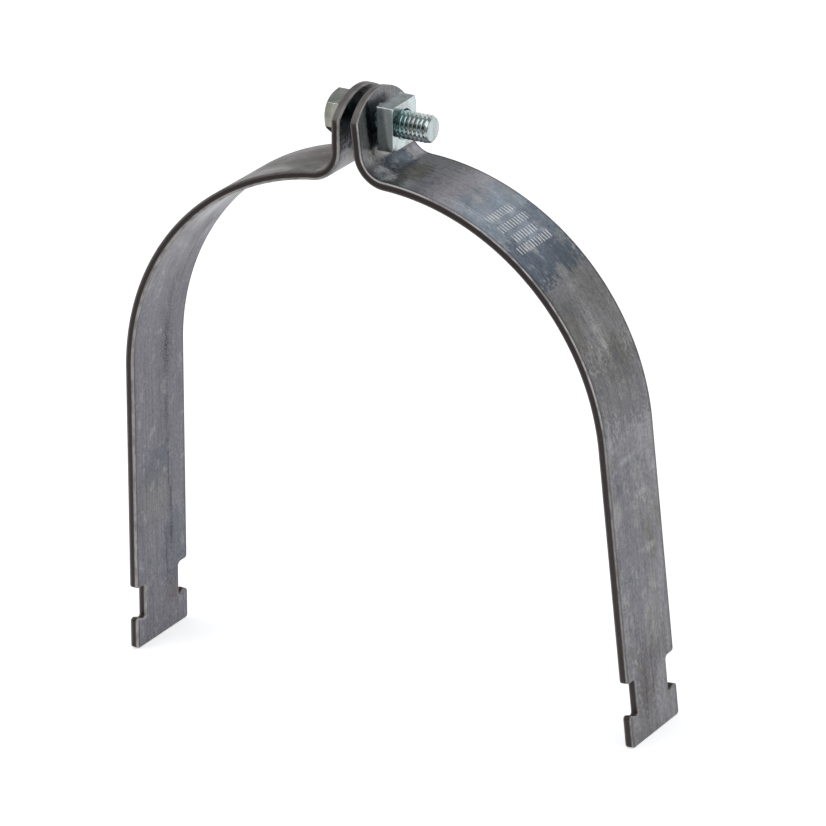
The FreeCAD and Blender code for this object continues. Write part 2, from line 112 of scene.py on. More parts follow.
class StrapSizes(bpy.types.PropertyGroup):
    """The bent strip that both straps are made from."""

    pipe_radius: length("Pipe radius", "Radius of the pipe that the strap grips", 84.15)
    width: length("Width", "Width of the strip", 31.75)
    thickness: length("Thickness", "Thickness of the strip", 3.04)
    ear_gap: length("Ear gap", "Distance between the two ears at their tops", 3.1)
    bend_radius: length("Bend radius", "Inside radius of the bend under the ear", 8.8)
    ear_height: length("Ear height", "Height of the straight ear above its bend", 18.55)
    ear_round_drop: length("Ear round drop", "How far the ear's round top falls to its corners", 7.9)
    hole_rise: length("Hole rise", "Height of the hole above the bend", 7.95)
    hole_diameter: length("Hole diameter", "Diameter of the punched hole", 11.11)
    shoulder_depth: length("Shoulder depth", "From the pipe axis down to the shoulders", 82.2)
    notch_height: length("Notch height", "From the shoulders down to the hook tips", 11.1)
    hook_length: length("Hook length", "From the hook tips down to the foot's end", 11.75)
    hook_undercut: length("Hook undercut", "How far the notch reaches behind a hook's tip", 2.0)
    neck_width: length("Neck width", "Width between the notches", 20.8)
    shoulder_fillet: length("Shoulder fillet", "Radius in the notch's upper corner", 1.5)
    undercut_fillet: length("Undercut fillet", "Radius in the notch's lower corner", 0.8)
    foot_fillet: length("Foot fillet", "Radius of the foot's outer corners", 1.2)
    splay: angle("Splay", "How far the loose strap hangs outward", 3.3)
    head_side_lift: length("Head side lift", "How much higher the strap by the head hangs", 0.1)
    outer_edge: length("Outer edge", "Radius of the long edges on the outer face", 0.22)
    inner_edge: length("Inner edge", "Radius of the long edges on the inner face", 0.5)
    edge_steps: IntProperty(name="Edge steps", description="Facets across each rounded edge",
                            default=4, min=1)
    bend_steps: IntProperty(name="Bend steps", description="Facets round the bend", default=30,
                            min=4)
    round_steps: IntProperty(name="Pipe steps", description="Facets round the pipe", default=84,
                             min=8)


class ScrewSizes(bpy.types.PropertyGroup):
    """The hex head machine screw and how it hangs in the two holes."""

    height: length("Height", "Height of its axis over the pipe's, midway between the straps",
                   102.6381)
    tilt: angle("Tilt", "How far its head end hangs higher than its tip", 2.65)
    seat: length("Seat", "From midway between the straps to the head's bearing face", 7.5797)
    length: length("Length", "Length under the head", 31.75)
    diameter: length("Diameter", "Diameter over the thread", 9.525)
    pitch: length("Pitch", "Advance in one turn of the thread, 16 to the inch", 1.5875)
    thread_depth: length("Thread depth", "Depth of the thread", 0.96)
    tip_chamfer: length("Tip chamfer", "Chamfer at the tip", 0.8)
    flats: length("Flats", "Width of the head across its flats", 14.1)
    head_height: length("Head height", "Height of the head", 6)
    chamfer_inset: length("Chamfer inset", "From the flats in to the outer face's round rim", 0.45)
    bearing_chamfer: length("Bearing chamfer", "From the flats out to the inner bevel", 0.3)
    chamfer_angle: angle("Chamfer angle", "Slope of the head's bevels", 32)
    turn: angle("Turn", "How far the head is turned about its axis", -9)
    corner_radius: length("Corner radius", "Radius of the head's six edges", 0.25)


class NutSizes(bpy.types.PropertyGroup):
    """The square nut."""

    seat: length("Seat", "From midway between the straps to the nut's inner face", 7.1879)
    thickness: length("Thickness", "Thickness of the nut", 6.1)
    flats: length("Flats", "Width across the flats", 15.4)
    chamfer_start: length("Chamfer start", "From the flats out to the bevel", 2.2)
    chamfer_angle: angle("Chamfer angle", "Slope of the bevel at the corners", 25)
    turn: angle("Turn", "How far the nut is turned about its axis", 1.2)
    corner_radius: length("Corner radius", "Radius of the four upright edges", 0.4)
    bore_clearance: length("Bore clearance", "Gap between the nut's thread and the screw's", 0.05)
    mouth_chamfer: length("Mouth chamfer", "Chamfer at the bore's mouth", 0.6)


class FinishColours(bpy.types.PropertyGroup):
    """Colours of the two finishes."""

    steel: tint("Steel", "Rolled steel", 0.245, 0.242, 0.258)
    steel_violet: tint("Violet haze", "Faint violet heat tint on the steel", 0.268, 0.262, 0.292)
    steel_slate: tint("Slate haze", "Darker violet grey of the steel", 0.186, 0.181, 0.205)
    # steel_blue also paints the shade on the bend under the nut
    steel_blue: tint("Blue stain", "Dark heat-blue and oil on the steel", 0.085, 0.105, 0.135)
    steel_sky: tint("Sky haze", "Pale blue heat tint on the steel", 0.195, 0.240, 0.285)
    steel_olive: tint("Olive stain", "Greenish and brown dried oil", 0.13, 0.126, 0.10)
    steel_brown: tint("Brown stain", "Brownish mill scale", 0.094, 0.074, 0.068)
    steel_dull: tint("Dull stain", "Neutral dark haze", 0.13, 0.13, 0.13)
    steel_pale: tint("Pale haze", "Pale handling marks on the steel", 0.40, 0.40, 0.39)
    # steel_black also paints the shadow beside the nut and the shade in the gap between the ears
    steel_black: tint("Black oil", "Old oil in sheltered places", 0.025, 0.027, 0.03)
    # etched also paints a reflection on the bend under the nut
    etched: tint("Etched", "Matt pale steel of the etched ticks", 0.82, 0.82, 0.82)
    cut_rim: tint("Cut rim", "Smooth part of the sheared edge", 0.22, 0.205, 0.20)
    cut_dark: tint("Cut edge", "Torn part of the sheared edge", 0.043, 0.031, 0.029)
    # the burr's colour: partly wear, partly a painted highlight along the sheared edge
    cut_burr_and_sheen: tint("Cut burr", "Worn burr along the sheared edge", 0.75, 0.72, 0.70)
    zinc: tint("Zinc", "Bright zinc plating", 0.60, 0.67, 0.68)
    zinc_warm: tint("Warm zinc", "Zinc where it turns yellowish", 0.62, 0.62, 0.54)
    zinc_dull: tint("Dull zinc", "Zinc where it has dulled", 0.42, 0.46, 0.46)
    # a darker teal laid on the thread beside the nut
    zinc_teal: tint("Teal zinc", "Greenish blue zinc in sheltered places", 0.22, 0.42, 0.42)


class StageSizes(bpy.types.PropertyGroup):
    """Floor, lamps and camera."""

    azimuth: angle("Azimuth", "Camera's direction round the object, 0 looking along +Y", 31.86)
    elevation: angle("Elevation", "Camera's height above the horizon", 21.38)
    roll: angle("Roll", "Camera's roll", -2.95)
    distance: length("Distance", "From the camera to its target", 1932.25)
    lens: FloatProperty(name="Lens", description="Focal length in millimetres", default=251.78,
                        unit="CAMERA")
    target: FloatVectorProperty(name="Target", description="Point that the camera looks at",
                                size=3, default=(0.01077, 0, -0.00018), subtype="TRANSLATION",
                                unit="LENGTH")
    floor_size: length("Floor size", "Side of the square floor", 2400)
    floor_front: length("Floor front", "How far the floor reaches in front of the object", 250)
    floor_gap: length("Floor gap", "Gap under the feet", 0.05)


def rounded_corner(before, corner, after, radius, steps):
    """Points of the arc that rounds a corner between two neighbouring points."""
    start, end = (before - corner).normalized(), (after - corner).normalized()
    half = start.angle(end) / 2
    reach = radius / math.tan(half)
    centre = corner + (start + end).normalized() * (radius / math.sin(half))
    first = corner + start * reach - centre
    last = corner + end * reach - centre
    sweep = first.angle_signed(last)
    return [centre + Matrix.Rotation(-sweep * step / steps, 2) @ first for step in range(steps + 1)]


class StrapForm:
    """The strap's flat outline and the bends that it gets, worked out from its sizes. A point
    of the flat strip is (along, across, depth): down from the top of the ear, across the
    middle line, and out from the inner face."""

    # facets round a corner, half the ear and the hole
    corner_steps = 6
    ear_steps = 28
    hole_steps = 72
    # the longest facet down the leg, and how many lie side by side across the strip
    leg_step = 4 * MM
    cross_facets = 6
    # an extra point this far from the ear's corner keeps its shading crisp
    corner_support = 0.25 * MM

    def __init__(self, sizes, side):
        self.sizes = sizes
        self.side = side
        self.half_width = sizes.width / 2
        self.bend_reach = sizes.ear_gap / 2 + sizes.thickness + sizes.bend_radius
        self.bend_height = math.sqrt(
            (sizes.pipe_radius + sizes.thickness + sizes.bend_radius) ** 2 - self.bend_reach ** 2)
        self.ear_top = self.bend_height + sizes.ear_height
        self.lean = math.atan2(self.bend_height, self.bend_reach)
        self.bend_middle = sizes.bend_radius + sizes.thickness / 2
        self.pipe_middle = sizes.pipe_radius + sizes.thickness / 2
        self.bend_start = sizes.ear_height
        self.round_start = self.bend_start + self.bend_middle * self.lean
        self.leg_start = self.round_start + self.pipe_middle * self.lean
        self.pivot = sizes.ear_gap / 2 + sizes.thickness / 2

    def bent(self, along, depth):
        """(out, up) of a point of the upright strap, seen along the pipe."""
        sizes = self.sizes
        if along < self.bend_start:
            return sizes.ear_gap / 2 + depth, self.ear_top - along
        if along < self.round_start:
            turn = (along - self.bend_start) / self.bend_middle
            radius = sizes.bend_radius + sizes.thickness - depth
            return (self.bend_reach - radius * math.cos(turn),
                    self.bend_height - radius * math.sin(turn))
        radius = sizes.pipe_radius + depth
        if along < self.leg_start:
            turn = self.lean - (along - self.round_start) / self.pipe_middle
            return radius * math.cos(turn), radius * math.sin(turn)
        return radius, self.leg_start - along

    def place(self, along, across, depth):
        """Where a point of the flat strip lies on the clamp, hanging splayed."""
        out, up = self.bent(along, depth)
        cosine, sine = math.cos(self.sizes.splay), math.sin(self.sizes.splay)
        x = (out - self.pivot) * cosine - (up - self.ear_top) * sine + self.pivot
        z = (out - self.pivot) * sine + (up - self.ear_top) * cosine + self.ear_top
        if self.side > 0:
            return Vector((x, across, z))
        return Vector((-x, -across, z + self.sizes.head_side_lift))

    def stations(self):
        """Distances along the strip at which it gets an edge across, from bend to shoulder."""
        sizes = self.sizes
        bend = [self.bend_start + (self.round_start - self.bend_start) * step / sizes.bend_steps
                for step in range(sizes.bend_steps)]
        around = [self.round_start + (self.leg_start - self.round_start) * step / sizes.round_steps
                  for step in range(sizes.round_steps)]
        leg_steps = math.ceil(sizes.shoulder_depth / self.leg_step)
        leg = [self.leg_start + sizes.shoulder_depth * step / leg_steps
               for step in range(leg_steps)]
        return bend + around + leg

    def half_outline(self):
        """The edge from the ear's top to the middle of the foot, as (along, across) points."""
        sizes = self.sizes
        half, neck, drop = self.half_width, sizes.neck_width / 2, sizes.ear_round_drop
        radius = (half ** 2 + drop ** 2) / (2 * drop)
        swing = math.asin(half / radius)
        support = self.corner_support / radius
        turns = [swing * step / self.ear_steps for step in range(self.ear_steps)]
        points = [Vector((radius - radius * math.cos(turn), radius * math.sin(turn)))
                  for turn in turns + [swing - support]]
        points.append(Vector((drop, half)))
        points.append(Vector((drop + self.corner_support, half)))
        points += [Vector((along, half)) for along in self.stations()]
        shoulder = self.leg_start + sizes.shoulder_depth
        hook = shoulder + sizes.notch_height
        foot = hook + sizes.hook_length
        corners = [
            (Vector((self.leg_start, half)), 0),
            (Vector((shoulder, half)), sizes.foot_fillet),
            (Vector((shoulder, neck)), sizes.shoulder_fillet),
            (Vector((hook + sizes.hook_undercut, neck)), sizes.undercut_fillet),
            (Vector((hook, half)), sizes.foot_fillet),
            (Vector((foot, half)), sizes.foot_fillet),
            (Vector((foot, 0)), 0),
        ]
        for place in range(1, len(corners) - 1):
            points += rounded_corner(corners[place - 1][0], corners[place][0],
                                     corners[place + 1][0], corners[place][1], self.corner_steps)
        points.append(Vector((foot, 0)))
        return points

    def outline(self):
        """The whole edge, and the pairs of its points that face each other across the strip."""
        right = self.half_outline()
        left = [Vector((point.x, -point.y)) for point in right[-2:0:-1]]
        count = len(right) + len(left)
        first, last = self.bend_start, self.leg_start + self.sizes.shoulder_depth
        pairs = [(place, count - place) for place, point in enumerate(right)
                 if first <= point.x < last and point.y == self.half_width]
        return right + left, pairs

    def hole(self):
        """The punched hole, run round the other way."""
        centre = self.sizes.ear_height - self.sizes.hole_rise
        radius = self.sizes.hole_diameter / 2
        turns = [math.tau * step / self.hole_steps for step in range(self.hole_steps)]
        return [Vector((centre + radius * math.cos(turn), radius * math.sin(turn)))
                for turn in turns]

    def levels(self):
        """(depth, inset) of the rings that round the cut edge, from the outer face inward."""
        sizes = self.sizes
        outer, inner, thick = sizes.outer_edge, sizes.inner_edge, sizes.thickness
        quarter = [math.pi / 2 * step / sizes.edge_steps for step in range(sizes.edge_steps + 1)]
        top = [(thick - outer * (1 - math.cos(turn)), outer * (1 - math.sin(turn)))
               for turn in quarter]
        bottom = [(inner * (1 - math.cos(turn)), inner * (1 - math.sin(turn)))
                  for turn in reversed(quarter)]
        return top + bottom


def inset_loop(loop, amount):
    """A closed loop moved towards the material, which lies on its right."""
    moved = []
    for place, point in enumerate(loop):
        before = (point - loop[place - 1]).normalized()
        after = (loop[(place + 1) % len(loop)] - point).normalized()
        first, second = Vector((before.y, -before.x)), Vector((after.y, -after.x))
        moved.append(point + (first + second) / (1 + first.dot(second)) * amount)
    return moved


def strap_mesh(form, name):
    """A strap as one closed mesh. Its points keep their place on the flat strip in the
    attribute strip, and how far they lie on the cut edge in the attribute cut."""
    build = bmesh.new()
    strip = build.verts.layers.float_vector.new("strip")
    cut = build.verts.layers.float.new("cut")

    def add_point(flat, depth, on_cut):
        vertex = build.verts.new(form.place(flat.x, flat.y, depth))
        vertex[strip] = (flat.x, flat.y, depth)
        vertex[cut] = on_cut
        return vertex

    outline, pairs = form.outline()
    hole = form.hole()
    levels = form.levels()
    rings = []
    for loop in (outline, hole):
        stack = []
        for place, (depth, inset) in enumerate(levels):
            on_cut = 0.0 if place in (0, len(levels) - 1) else 1.0
            stack.append([add_point(point, depth, on_cut) for point in inset_loop(loop, inset)])
        for upper, lower in zip(stack, stack[1:]):
            for place in range(len(loop)):
                build.faces.new((upper[place], upper[place - 1], lower[place - 1], lower[place]))
        rings.append(stack)

    hole_centre = sum(hole, Vector((0, 0))) / len(hole)
    for level in (0, len(levels) - 1):
        depth, inset = levels[level]
        flat = inset_loop(outline, inset) + inset_loop(hole, inset)
        made = rings[0][level] + rings[1][level]
        count = len(outline)
        edges = [(place, (place + 1) % count) for place in range(count)]
        edges += [(count + place, count + (place + 1) % len(hole)) for place in range(len(hole))]
        for first, second in pairs:
            chain = [first]
            for line in range(1, form.cross_facets):
                point = flat[first].lerp(flat[second], line / form.cross_facets)
                chain.append(len(flat))
                flat.append(point)
                made.append(add_point(point, depth, 0.0))
            chain.append(second)
            edges += zip(chain, chain[1:])
        # 1 asks for the triangles inside the outline, and those over the hole are left out
        points, _, faces, origins, _, _ = delaunay_2d_cdt(flat, edges, [], 1, FLAT_WELD)
        for face in faces:
            middle = sum((points[corner] for corner in face), Vector((0, 0))) / len(face)
            if (middle - hole_centre).length < form.sizes.hole_diameter / 2:
                continue
            build.faces.new([made[origins[corner][0]] for corner in face])
    finish_mesh(build, STRAP_SHARP)
    mesh = bpy.data.meshes.new(name)
    build.to_mesh(mesh)
    build.free()
    return mesh


def finish_mesh(build, sharp_angle):
    """Turn every face outward, smooth them all and mark the sharp edges."""
    bmesh.ops.remove_doubles(build, verts=build.verts, dist=WELD)
    loose = [vertex for vertex in build.verts if not vertex.link_faces]
    bmesh.ops.delete(build, geom=loose, context="VERTS")
    bmesh.ops.recalc_face_normals(build, faces=build.faces)
    for face in build.faces:
        face.smooth = True
    for edge in build.edges:
        edge.smooth = len(edge.link_faces) == 2 and edge.calc_face_angle(0) < sharp_angle


def add_piece(mesh, body, node, material):
    """Put a finished mesh into the scene in place of its CAD node."""
    piece = bpy.data.objects.new(mesh.name, mesh)
    bpy.context.scene.collection.objects.link(piece)
    weighted = piece.modifiers.new("Weighted normals", "WEIGHTED_NORMAL")
    weighted.keep_sharp = True
    mesh.materials.clear()
    mesh.materials.append(material)
    corners = [vertex.co for vertex in mesh.vertices]
    for axis in range(3):
        low, high = (bound[axis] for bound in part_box(node))
        if (abs(min(corner[axis] for corner in corners) - low) > BOX_TOLERANCE
                or abs(max(corner[axis] for corner in corners) - high) > BOX_TOLERANCE):
            raise RuntimeError(f"{mesh.name} doesn't fill its node {node} along axis {axis}")
    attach(piece, body)
    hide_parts(node)


def axis_place(axial, radius, turn):
    """A point round the X axis, its turn measured from +Y towards +Z."""
    return Vector((axial, radius * math.cos(turn), radius * math.sin(turn)))


def hang_on_axis(mesh, screw):
    """Move a mesh made round the X axis onto the screw's tilted axis."""
    mesh.transform(Matrix.Translation((0, 0, screw.height)) @ Matrix.Rotation(screw.tilt, 4, "Y"))


def prism_outline(sides, flats, corner_radius, turn):
    """(turn, radius) points round a regular prism with rounded corners."""
    corner_steps, side_steps = 5, 10
    half = math.pi / sides
    reach = (flats / 2 - corner_radius) / math.cos(half)

    def on_corner(corner, way):
        centre = Vector((math.cos(corner), math.sin(corner))) * reach
        return centre + Vector((math.cos(way), math.sin(way))) * corner_radius

    points = []
    for side in range(sides):
        corner = turn + 2 * half * side
        following = corner + 2 * half
        points += [on_corner(corner, corner - half + 2 * half * step / corner_steps)
                   for step in range(corner_steps + 1)]
        last, first = points[-1], on_corner(following, following - half)
        points += [last.lerp(first, step / side_steps) for step in range(1, side_steps)]
    return [(math.atan2(point.y, point.x), point.length) for point in points]


def soft_least(first, second, blend):
    """The smaller of two numbers, with a rounded step from one to the other."""
    overlap = max(blend - abs(first - second), 0) / blend
    return min(first, second) - overlap * overlap * blend / 4


# How a prism's corners are turned off at one end: the cone starts on the face at the radius
# start, the face's rim is rounded, and no bevel is left below the depth deepest
Bevel = namedtuple("Bevel", "start slope rim deepest")

BEVEL_BLEND = 0.12 * MM
RIM_STEPS = 4
BEVEL_STEPS = 8


def bevelled_radius(radius, depth, bevel):
    """How far out a prism's point at a radius still reaches at a depth under its face."""
    cone = bevel.start + depth / math.tan(bevel.slope)
    reach = soft_least(radius, cone, BEVEL_BLEND)
    if depth < bevel.rim:
        reach -= bevel.rim - math.sqrt(bevel.rim ** 2 - (bevel.rim - depth) ** 2)
    return reach


def prism_rings(outline, near, far, near_bevel, far_bevel):
    """Rings of points from one end of a bevelled prism to the other."""
    rings = []
    for face, inward, bevel in ((near, 1, near_bevel), (far, -1, far_bevel)):
        depths = [bevel.rim * (1 - math.cos(math.pi / 2 * step / RIM_STEPS))
                  for step in range(RIM_STEPS + 1)]
        depths += [bevel.rim + (bevel.deepest - bevel.rim) * step / BEVEL_STEPS
                   for step in range(1, BEVEL_STEPS + 1)]
        end = [[axis_place(face + inward * depth, bevelled_radius(radius, depth, bevel), turn)
                for turn, radius in outline] for depth in depths]
        rings += end if inward > 0 else reversed(end)
    return rings


def closed_tube(rings):
    """A closed mesh from rings of points, both ends filled to their middle."""
    build = bmesh.new()
    made = [[build.verts.new(point) for point in ring] for ring in rings]
    count = len(rings[0])
    for lower, upper in zip(made, made[1:]):
        for place in range(count):
            build.faces.new((lower[place - 1], lower[place], upper[place], upper[place - 1]))
    for ring in (made[0], made[-1]):
        middle = build.verts.new(sum((vertex.co for vertex in ring), Vector()) / count)
        for place in range(count):
            build.faces.new((ring[place - 1], ring[place], middle))
    bmesh.ops.recalc_face_normals(build, faces=build.faces)
    return build


def turned(profile, steps):
    """A closed mesh turned about the screw's axis from (axial, radius) points."""
    turns = [math.tau * step / steps for step in range(steps)]
    return closed_tube([[axis_place(axial, radius, turn) for turn in turns]
                        for axial, radius in profile])


THREAD_STEPS = 96
FLANK_ANGLE = math.radians(30)


def thread_profile(crest, root, pitch):
    """(shift, radius) points of one turn of a thread, from a crest to the far side of a root,
    with their corners rounded."""
    flank = (crest - root) * math.tan(FLANK_ANGLE)
    crest_flat = pitch / 8
    root_flat = pitch - crest_flat - 2 * flank
    ease = 0.02 * MM
    crest_reach, crest_drop = 0.05 * MM, 0.06 * MM
    root_reach, root_rise = 0.06 * MM, 0.1 * MM
    crest_side = [(crest_flat / 2 - ease, crest),
                  (crest_flat / 2 + crest_reach, crest - crest_drop)]
    root_side = [(root_flat / 2 + root_reach, root + root_rise),
                 (root_flat / 2 - ease, root + ease)]
    return ([(-shift, radius) for shift, radius in reversed(crest_side)]
            + crest_side
            + [(pitch / 2 - shift, radius) for shift, radius in root_side]
            + [(pitch / 2, root)]
            + [(pitch / 2 + shift, radius) for shift, radius in reversed(root_side)])


def thread_body(start, end, crest, root, pitch):
    """A right-hand thread longer than it has to be, as a closed mesh to be cut to length."""
    shape = thread_profile(crest, root, pitch)
    turns = math.ceil((end - start) / pitch) + 2
    build = bmesh.new()
    columns = []
    for step in range(THREAD_STEPS):
        turn = math.tau * step / THREAD_STEPS
        advance = pitch * step / THREAD_STEPS
        columns.append([
            build.verts.new(axis_place(start + advance + pitch * number + shift, radius, turn))
            for number in range(-1, turns) for shift, radius in shape])
    for column, following in zip(columns, columns[1:]):
        for place in range(len(column) - 1):
            build.faces.new((column[place], following[place],
                             following[place + 1], column[place + 1]))
    # the last column meets the first one a turn further on
    jump = len(shape)
    last, first = columns[-1], columns[0]
    for place in range(len(last) - 1 - jump):
        build.faces.new((last[place], first[place + jump], first[place + 1 + jump],
                         last[place + 1]))
    low_rim = [column[0] for column in columns] + first[jump:0:-1]
    high_rim = [column[-1] for column in columns] + last[-2:-2 - jump:-1]
    for rim in (low_rim, high_rim):
        axial = sum(vertex.co.x for vertex in rim) / len(rim)
        middle = build.verts.new(axis_place(axial, 0, 0))
        for place in range(len(rim)):
            build.faces.new((rim[place - 1], rim[place], middle))
    bmesh.ops.recalc_face_normals(build, faces=build.faces)
    return build


def make_object(build, name):
    """An object in the scene from a bmesh, which is freed."""
    mesh = bpy.data.meshes.new(name)
    build.to_mesh(mesh)
    build.free()
    made = bpy.data.objects.new(name, mesh)
    bpy.context.scene.collection.objects.link(made)
    return made


def combine(base, tool, operation):
    """Apply a boolean to an object's mesh and remove the tool."""
    modifier = base.modifiers.new("Combine", "BOOLEAN")
    modifier.object = tool
    modifier.operation = operation
    modifier.solver = "EXACT"
    bpy.context.view_layer.update()
    evaluated = base.evaluated_get(bpy.context.evaluated_depsgraph_get())
    mesh = bpy.data.meshes.new_from_object(evaluated)
    base.modifiers.clear()
    old = base.data
    base.data = mesh
    bpy.data.meshes.remove(old)
    tool_mesh = tool.data
    bpy.data.objects.remove(tool)
    bpy.data.meshes.remove(tool_mesh)
    if not mesh.polygons:
        raise RuntimeError(f"{base.name} came out empty")


def take_mesh(holder, name):
    """The finished mesh of a temporary fastener, which is removed."""
    build = bmesh.new()
    build.from_mesh(holder.data)
    finish_mesh(build, FASTENER_SHARP)
    mesh = bpy.data.meshes.new(name)
    build.to_mesh(mesh)
    build.free()
    old = holder.data
    bpy.data.objects.remove(holder)
    bpy.data.meshes.remove(old)
    return mesh


BLANK_STEPS = 128
MOUTH_STEPS = 96


def screw_mesh(sizes):
    """The hex head screw, with its real thread."""
    seat = -sizes.seat
    tip = seat + sizes.length
    radius = sizes.diameter / 2
    outline = prism_outline(6, sizes.flats, sizes.corner_radius, math.pi / 2 + sizes.turn)
    outer_bevel = Bevel(start=sizes.flats / 2 - sizes.chamfer_inset, slope=sizes.chamfer_angle,
                        rim=0.15 * MM, deepest=1.2 * MM)
    inner_bevel = Bevel(start=sizes.flats / 2 + sizes.bearing_chamfer, slope=sizes.chamfer_angle,
                        rim=0.15 * MM, deepest=0.6 * MM)
    head = make_object(closed_tube(prism_rings(
        outline, seat - sizes.head_height, seat, outer_bevel, inner_bevel)), "head")
    thread = make_object(thread_body(seat - 1.5 * OVERRUN, tip + OVERRUN, radius,
                                     radius - sizes.thread_depth, sizes.pitch), "thread")
    # the blank leaves the thread whole but for the chamfer at its tip
    around, ease, tip_drop = 0.2 * MM, 0.05 * MM, 0.07 * MM
    tip_radius = radius - sizes.tip_chamfer
    blank = make_object(turned([
        (seat - OVERRUN, radius + around),
        (tip - sizes.tip_chamfer - around, radius + around),
        (tip - ease, tip_radius + ease),
        (tip, tip_radius - tip_drop),
    ], BLANK_STEPS), "blank")
    combine(thread, blank, "INTERSECT")
    combine(head, thread, "UNION")
    mesh = take_mesh(head, "hex_head_screw")
    hang_on_axis(mesh, sizes)
    return mesh


def nut_mesh(sizes, screw):
    """The square nut, with a thread that runs free on the screw's."""
    near, far = sizes.seat, sizes.seat + sizes.thickness
    outline = prism_outline(4, sizes.flats, sizes.corner_radius, math.pi / 4 + sizes.turn)
    # its inner face is flat, with a rounded rim and no cone
    near_bevel = Bevel(start=sizes.flats, slope=sizes.chamfer_angle, rim=0.25 * MM,
                       deepest=1.3 * MM)
    far_bevel = Bevel(start=sizes.flats / 2 + sizes.chamfer_start, slope=sizes.chamfer_angle,
                      rim=0.12 * MM, deepest=0.7 * MM)
    block = make_object(closed_tube(prism_rings(outline, near, far, near_bevel, far_bevel)),
                        "block")
    radius = screw.diameter / 2
    seat = -screw.seat
    # the tap's turns lie in line with the screw's, and its roots get more room than its crests
    turns_before = math.floor((near - seat) / screw.pitch) - 1
    root_clearance = 2.5 * sizes.bore_clearance
    tap = make_object(thread_body(
        seat - 1.5 * OVERRUN + turns_before * screw.pitch, far + OVERRUN,
        radius + sizes.bore_clearance, radius - screw.thread_depth + root_clearance,
        screw.pitch), "tap")
    combine(block, tap, "DIFFERENCE")
    mouth = sizes.mouth_chamfer
    for face, inward in ((near, 1), (far, -1)):
        cutter = make_object(turned([
            (face - inward * OVERRUN, radius + mouth + OVERRUN),
            (face + inward * (mouth + 2 * OVERRUN), radius - 2 * OVERRUN),
        ], MOUTH_STEPS), "cutter")
        combine(block, cutter, "DIFFERENCE")
    mesh = take_mesh(block, "square_nut_threaded")
    hang_on_axis(mesh, screw)
    return mesh


class Nodes:
    """Short ways to add and join the nodes of a material or a world."""

    row_length = 12
    column_width = 180
    row_height = 260

    def __init__(self, holder):
        self.holder = holder
        holder.use_nodes = True
        self.tree = holder.node_tree
        self.tree.nodes.clear()

    def add(self, kind, inputs=None, **settings):
        """Add a node, set its settings, and set or join its inputs."""
        row, column = divmod(len(self.tree.nodes), self.row_length)
        node = self.tree.nodes.new("ShaderNode" + kind)
        node.location = (self.column_width * column, -self.row_height * row)
        for name, value in settings.items():
            setattr(node, name, value)
        for name, value in (inputs or {}).items():
            if isinstance(value, bpy.types.NodeSocket):
                self.tree.links.new(value, node.inputs[name])
            else:
                node.inputs[name].default_value = value
        return node

    def math(self, operation, first, second=0.0, clamp=False):
        node = self.add("Math", {0: first, 1: second}, operation=operation, use_clamp=clamp)
        return node.outputs[0]

    def plus(self, *terms):
        return reduce(partial(self.math, "ADD"), terms)

    def times(self, *factors):
        return reduce(partial(self.math, "MULTIPLY"), factors)

    def minus(self, first, second):
        return self.math("SUBTRACT", first, second)

    def weighted(self, *parts):
        """The sum of (value, weight) parts."""
        return self.plus(*[self.times(value, weight) for value, weight in parts])

    def measured(self, operation, first, second=(0, 0, 0)):
        """A number worked out from one or two vectors."""
        node = self.add("VectorMath", {0: first, 1: second}, operation=operation)
        return node.outputs["Value"]

    def scaled(self, vector, scale, shift=(0, 0, 0)):
        """A vector scaled on each axis and then moved."""
        node = self.add("Mapping", {"Vector": vector, "Scale": scale, "Location": shift})
        return node.outputs[0]

    def in_millimetres(self, vector):
        return self.scaled(vector, (1 / MM, 1 / MM, 1 / MM))

    def noise(self, place, pattern):
        """A noise pattern's value, from 0 to 1, at a place in millimetres."""
        node = self.add("TexNoise", {
            "Vector": self.scaled(place, pattern.pace, pattern.shift), "Scale": 1.0,
            "Detail": pattern.detail, "Roughness": pattern.roughness,
            "Distortion": pattern.distortion})
        return node.outputs["Fac"]

    def step(self, value, low, high, out_low=0.0, out_high=1.0, smooth=True):
        """Runs from out_low to out_high while the value runs from low to high."""
        node = self.add("MapRange", {"Value": value, "From Min": low, "From Max": high,
                                     "To Min": out_low, "To Max": out_high},
                        interpolation_type="SMOOTHSTEP" if smooth else "LINEAR")
        return node.outputs[0]

    def blend(self, share, first, second, how="MIX"):
        """Go from the first colour to the second as the share goes from 0 to 1."""
        node = self.add("Mix", data_type="RGBA", blend_type=how)
        for place, value in ((0, share), (6, first), (7, second)):
            if isinstance(value, bpy.types.NodeSocket):
                self.tree.links.new(value, node.inputs[place])
            elif place == 0:
                node.inputs[place].default_value = value
            else:
                node.inputs[place].default_value = (*value, 1)
        return node.outputs[2]

    def shaded(self, colour, level):
        """A colour made darker or lighter by a level."""
        grey = self.add("CombineColor", {0: level, 1: level, 2: level}).outputs[0]
        return self.blend(1.0, colour, grey, "MULTIPLY")

    def washed(self, colour, look, washes, colours, held=None):
        """Lay washes over a colour in their order, held back by a share where one is given."""
        for wash in washes:
            share = self.step(getattr(look, wash.pattern), wash.start, wash.full, 0.0,
                              wash.strength)
            if held is not None:
                share = self.times(share, held)
            colour = self.blend(share, colour, getattr(colours, wash.colour))
        return colour

    def finish(self, colour, roughness, metallic, height, strength, distance):
        """End in a Principled shader with a bump from a height."""
        bump = self.add("Bump", {"Height": height, "Strength": strength, "Distance": distance})
        shader = self.add("BsdfPrincipled", {"Base Color": colour, "Roughness": roughness,
                                             "Metallic": metallic, "Normal": bump.outputs[0]})
        self.add("OutputMaterial", {"Surface": shader.outputs[0]})
        return self.holder


# A noise pattern: how fast it runs along each axis, per millimetre, its detail, roughness and
# distortion, and how far it is moved
Pattern = namedtuple("Pattern", "pace detail roughness distortion shift",
                     defaults=(0.0, (0, 0, 0)))

# A colour laid over a finish where a pattern's value runs from start, where there is none of
# it, to full, where it has its strength
Wash = namedtuple("Wash", "pattern start full strength colour")

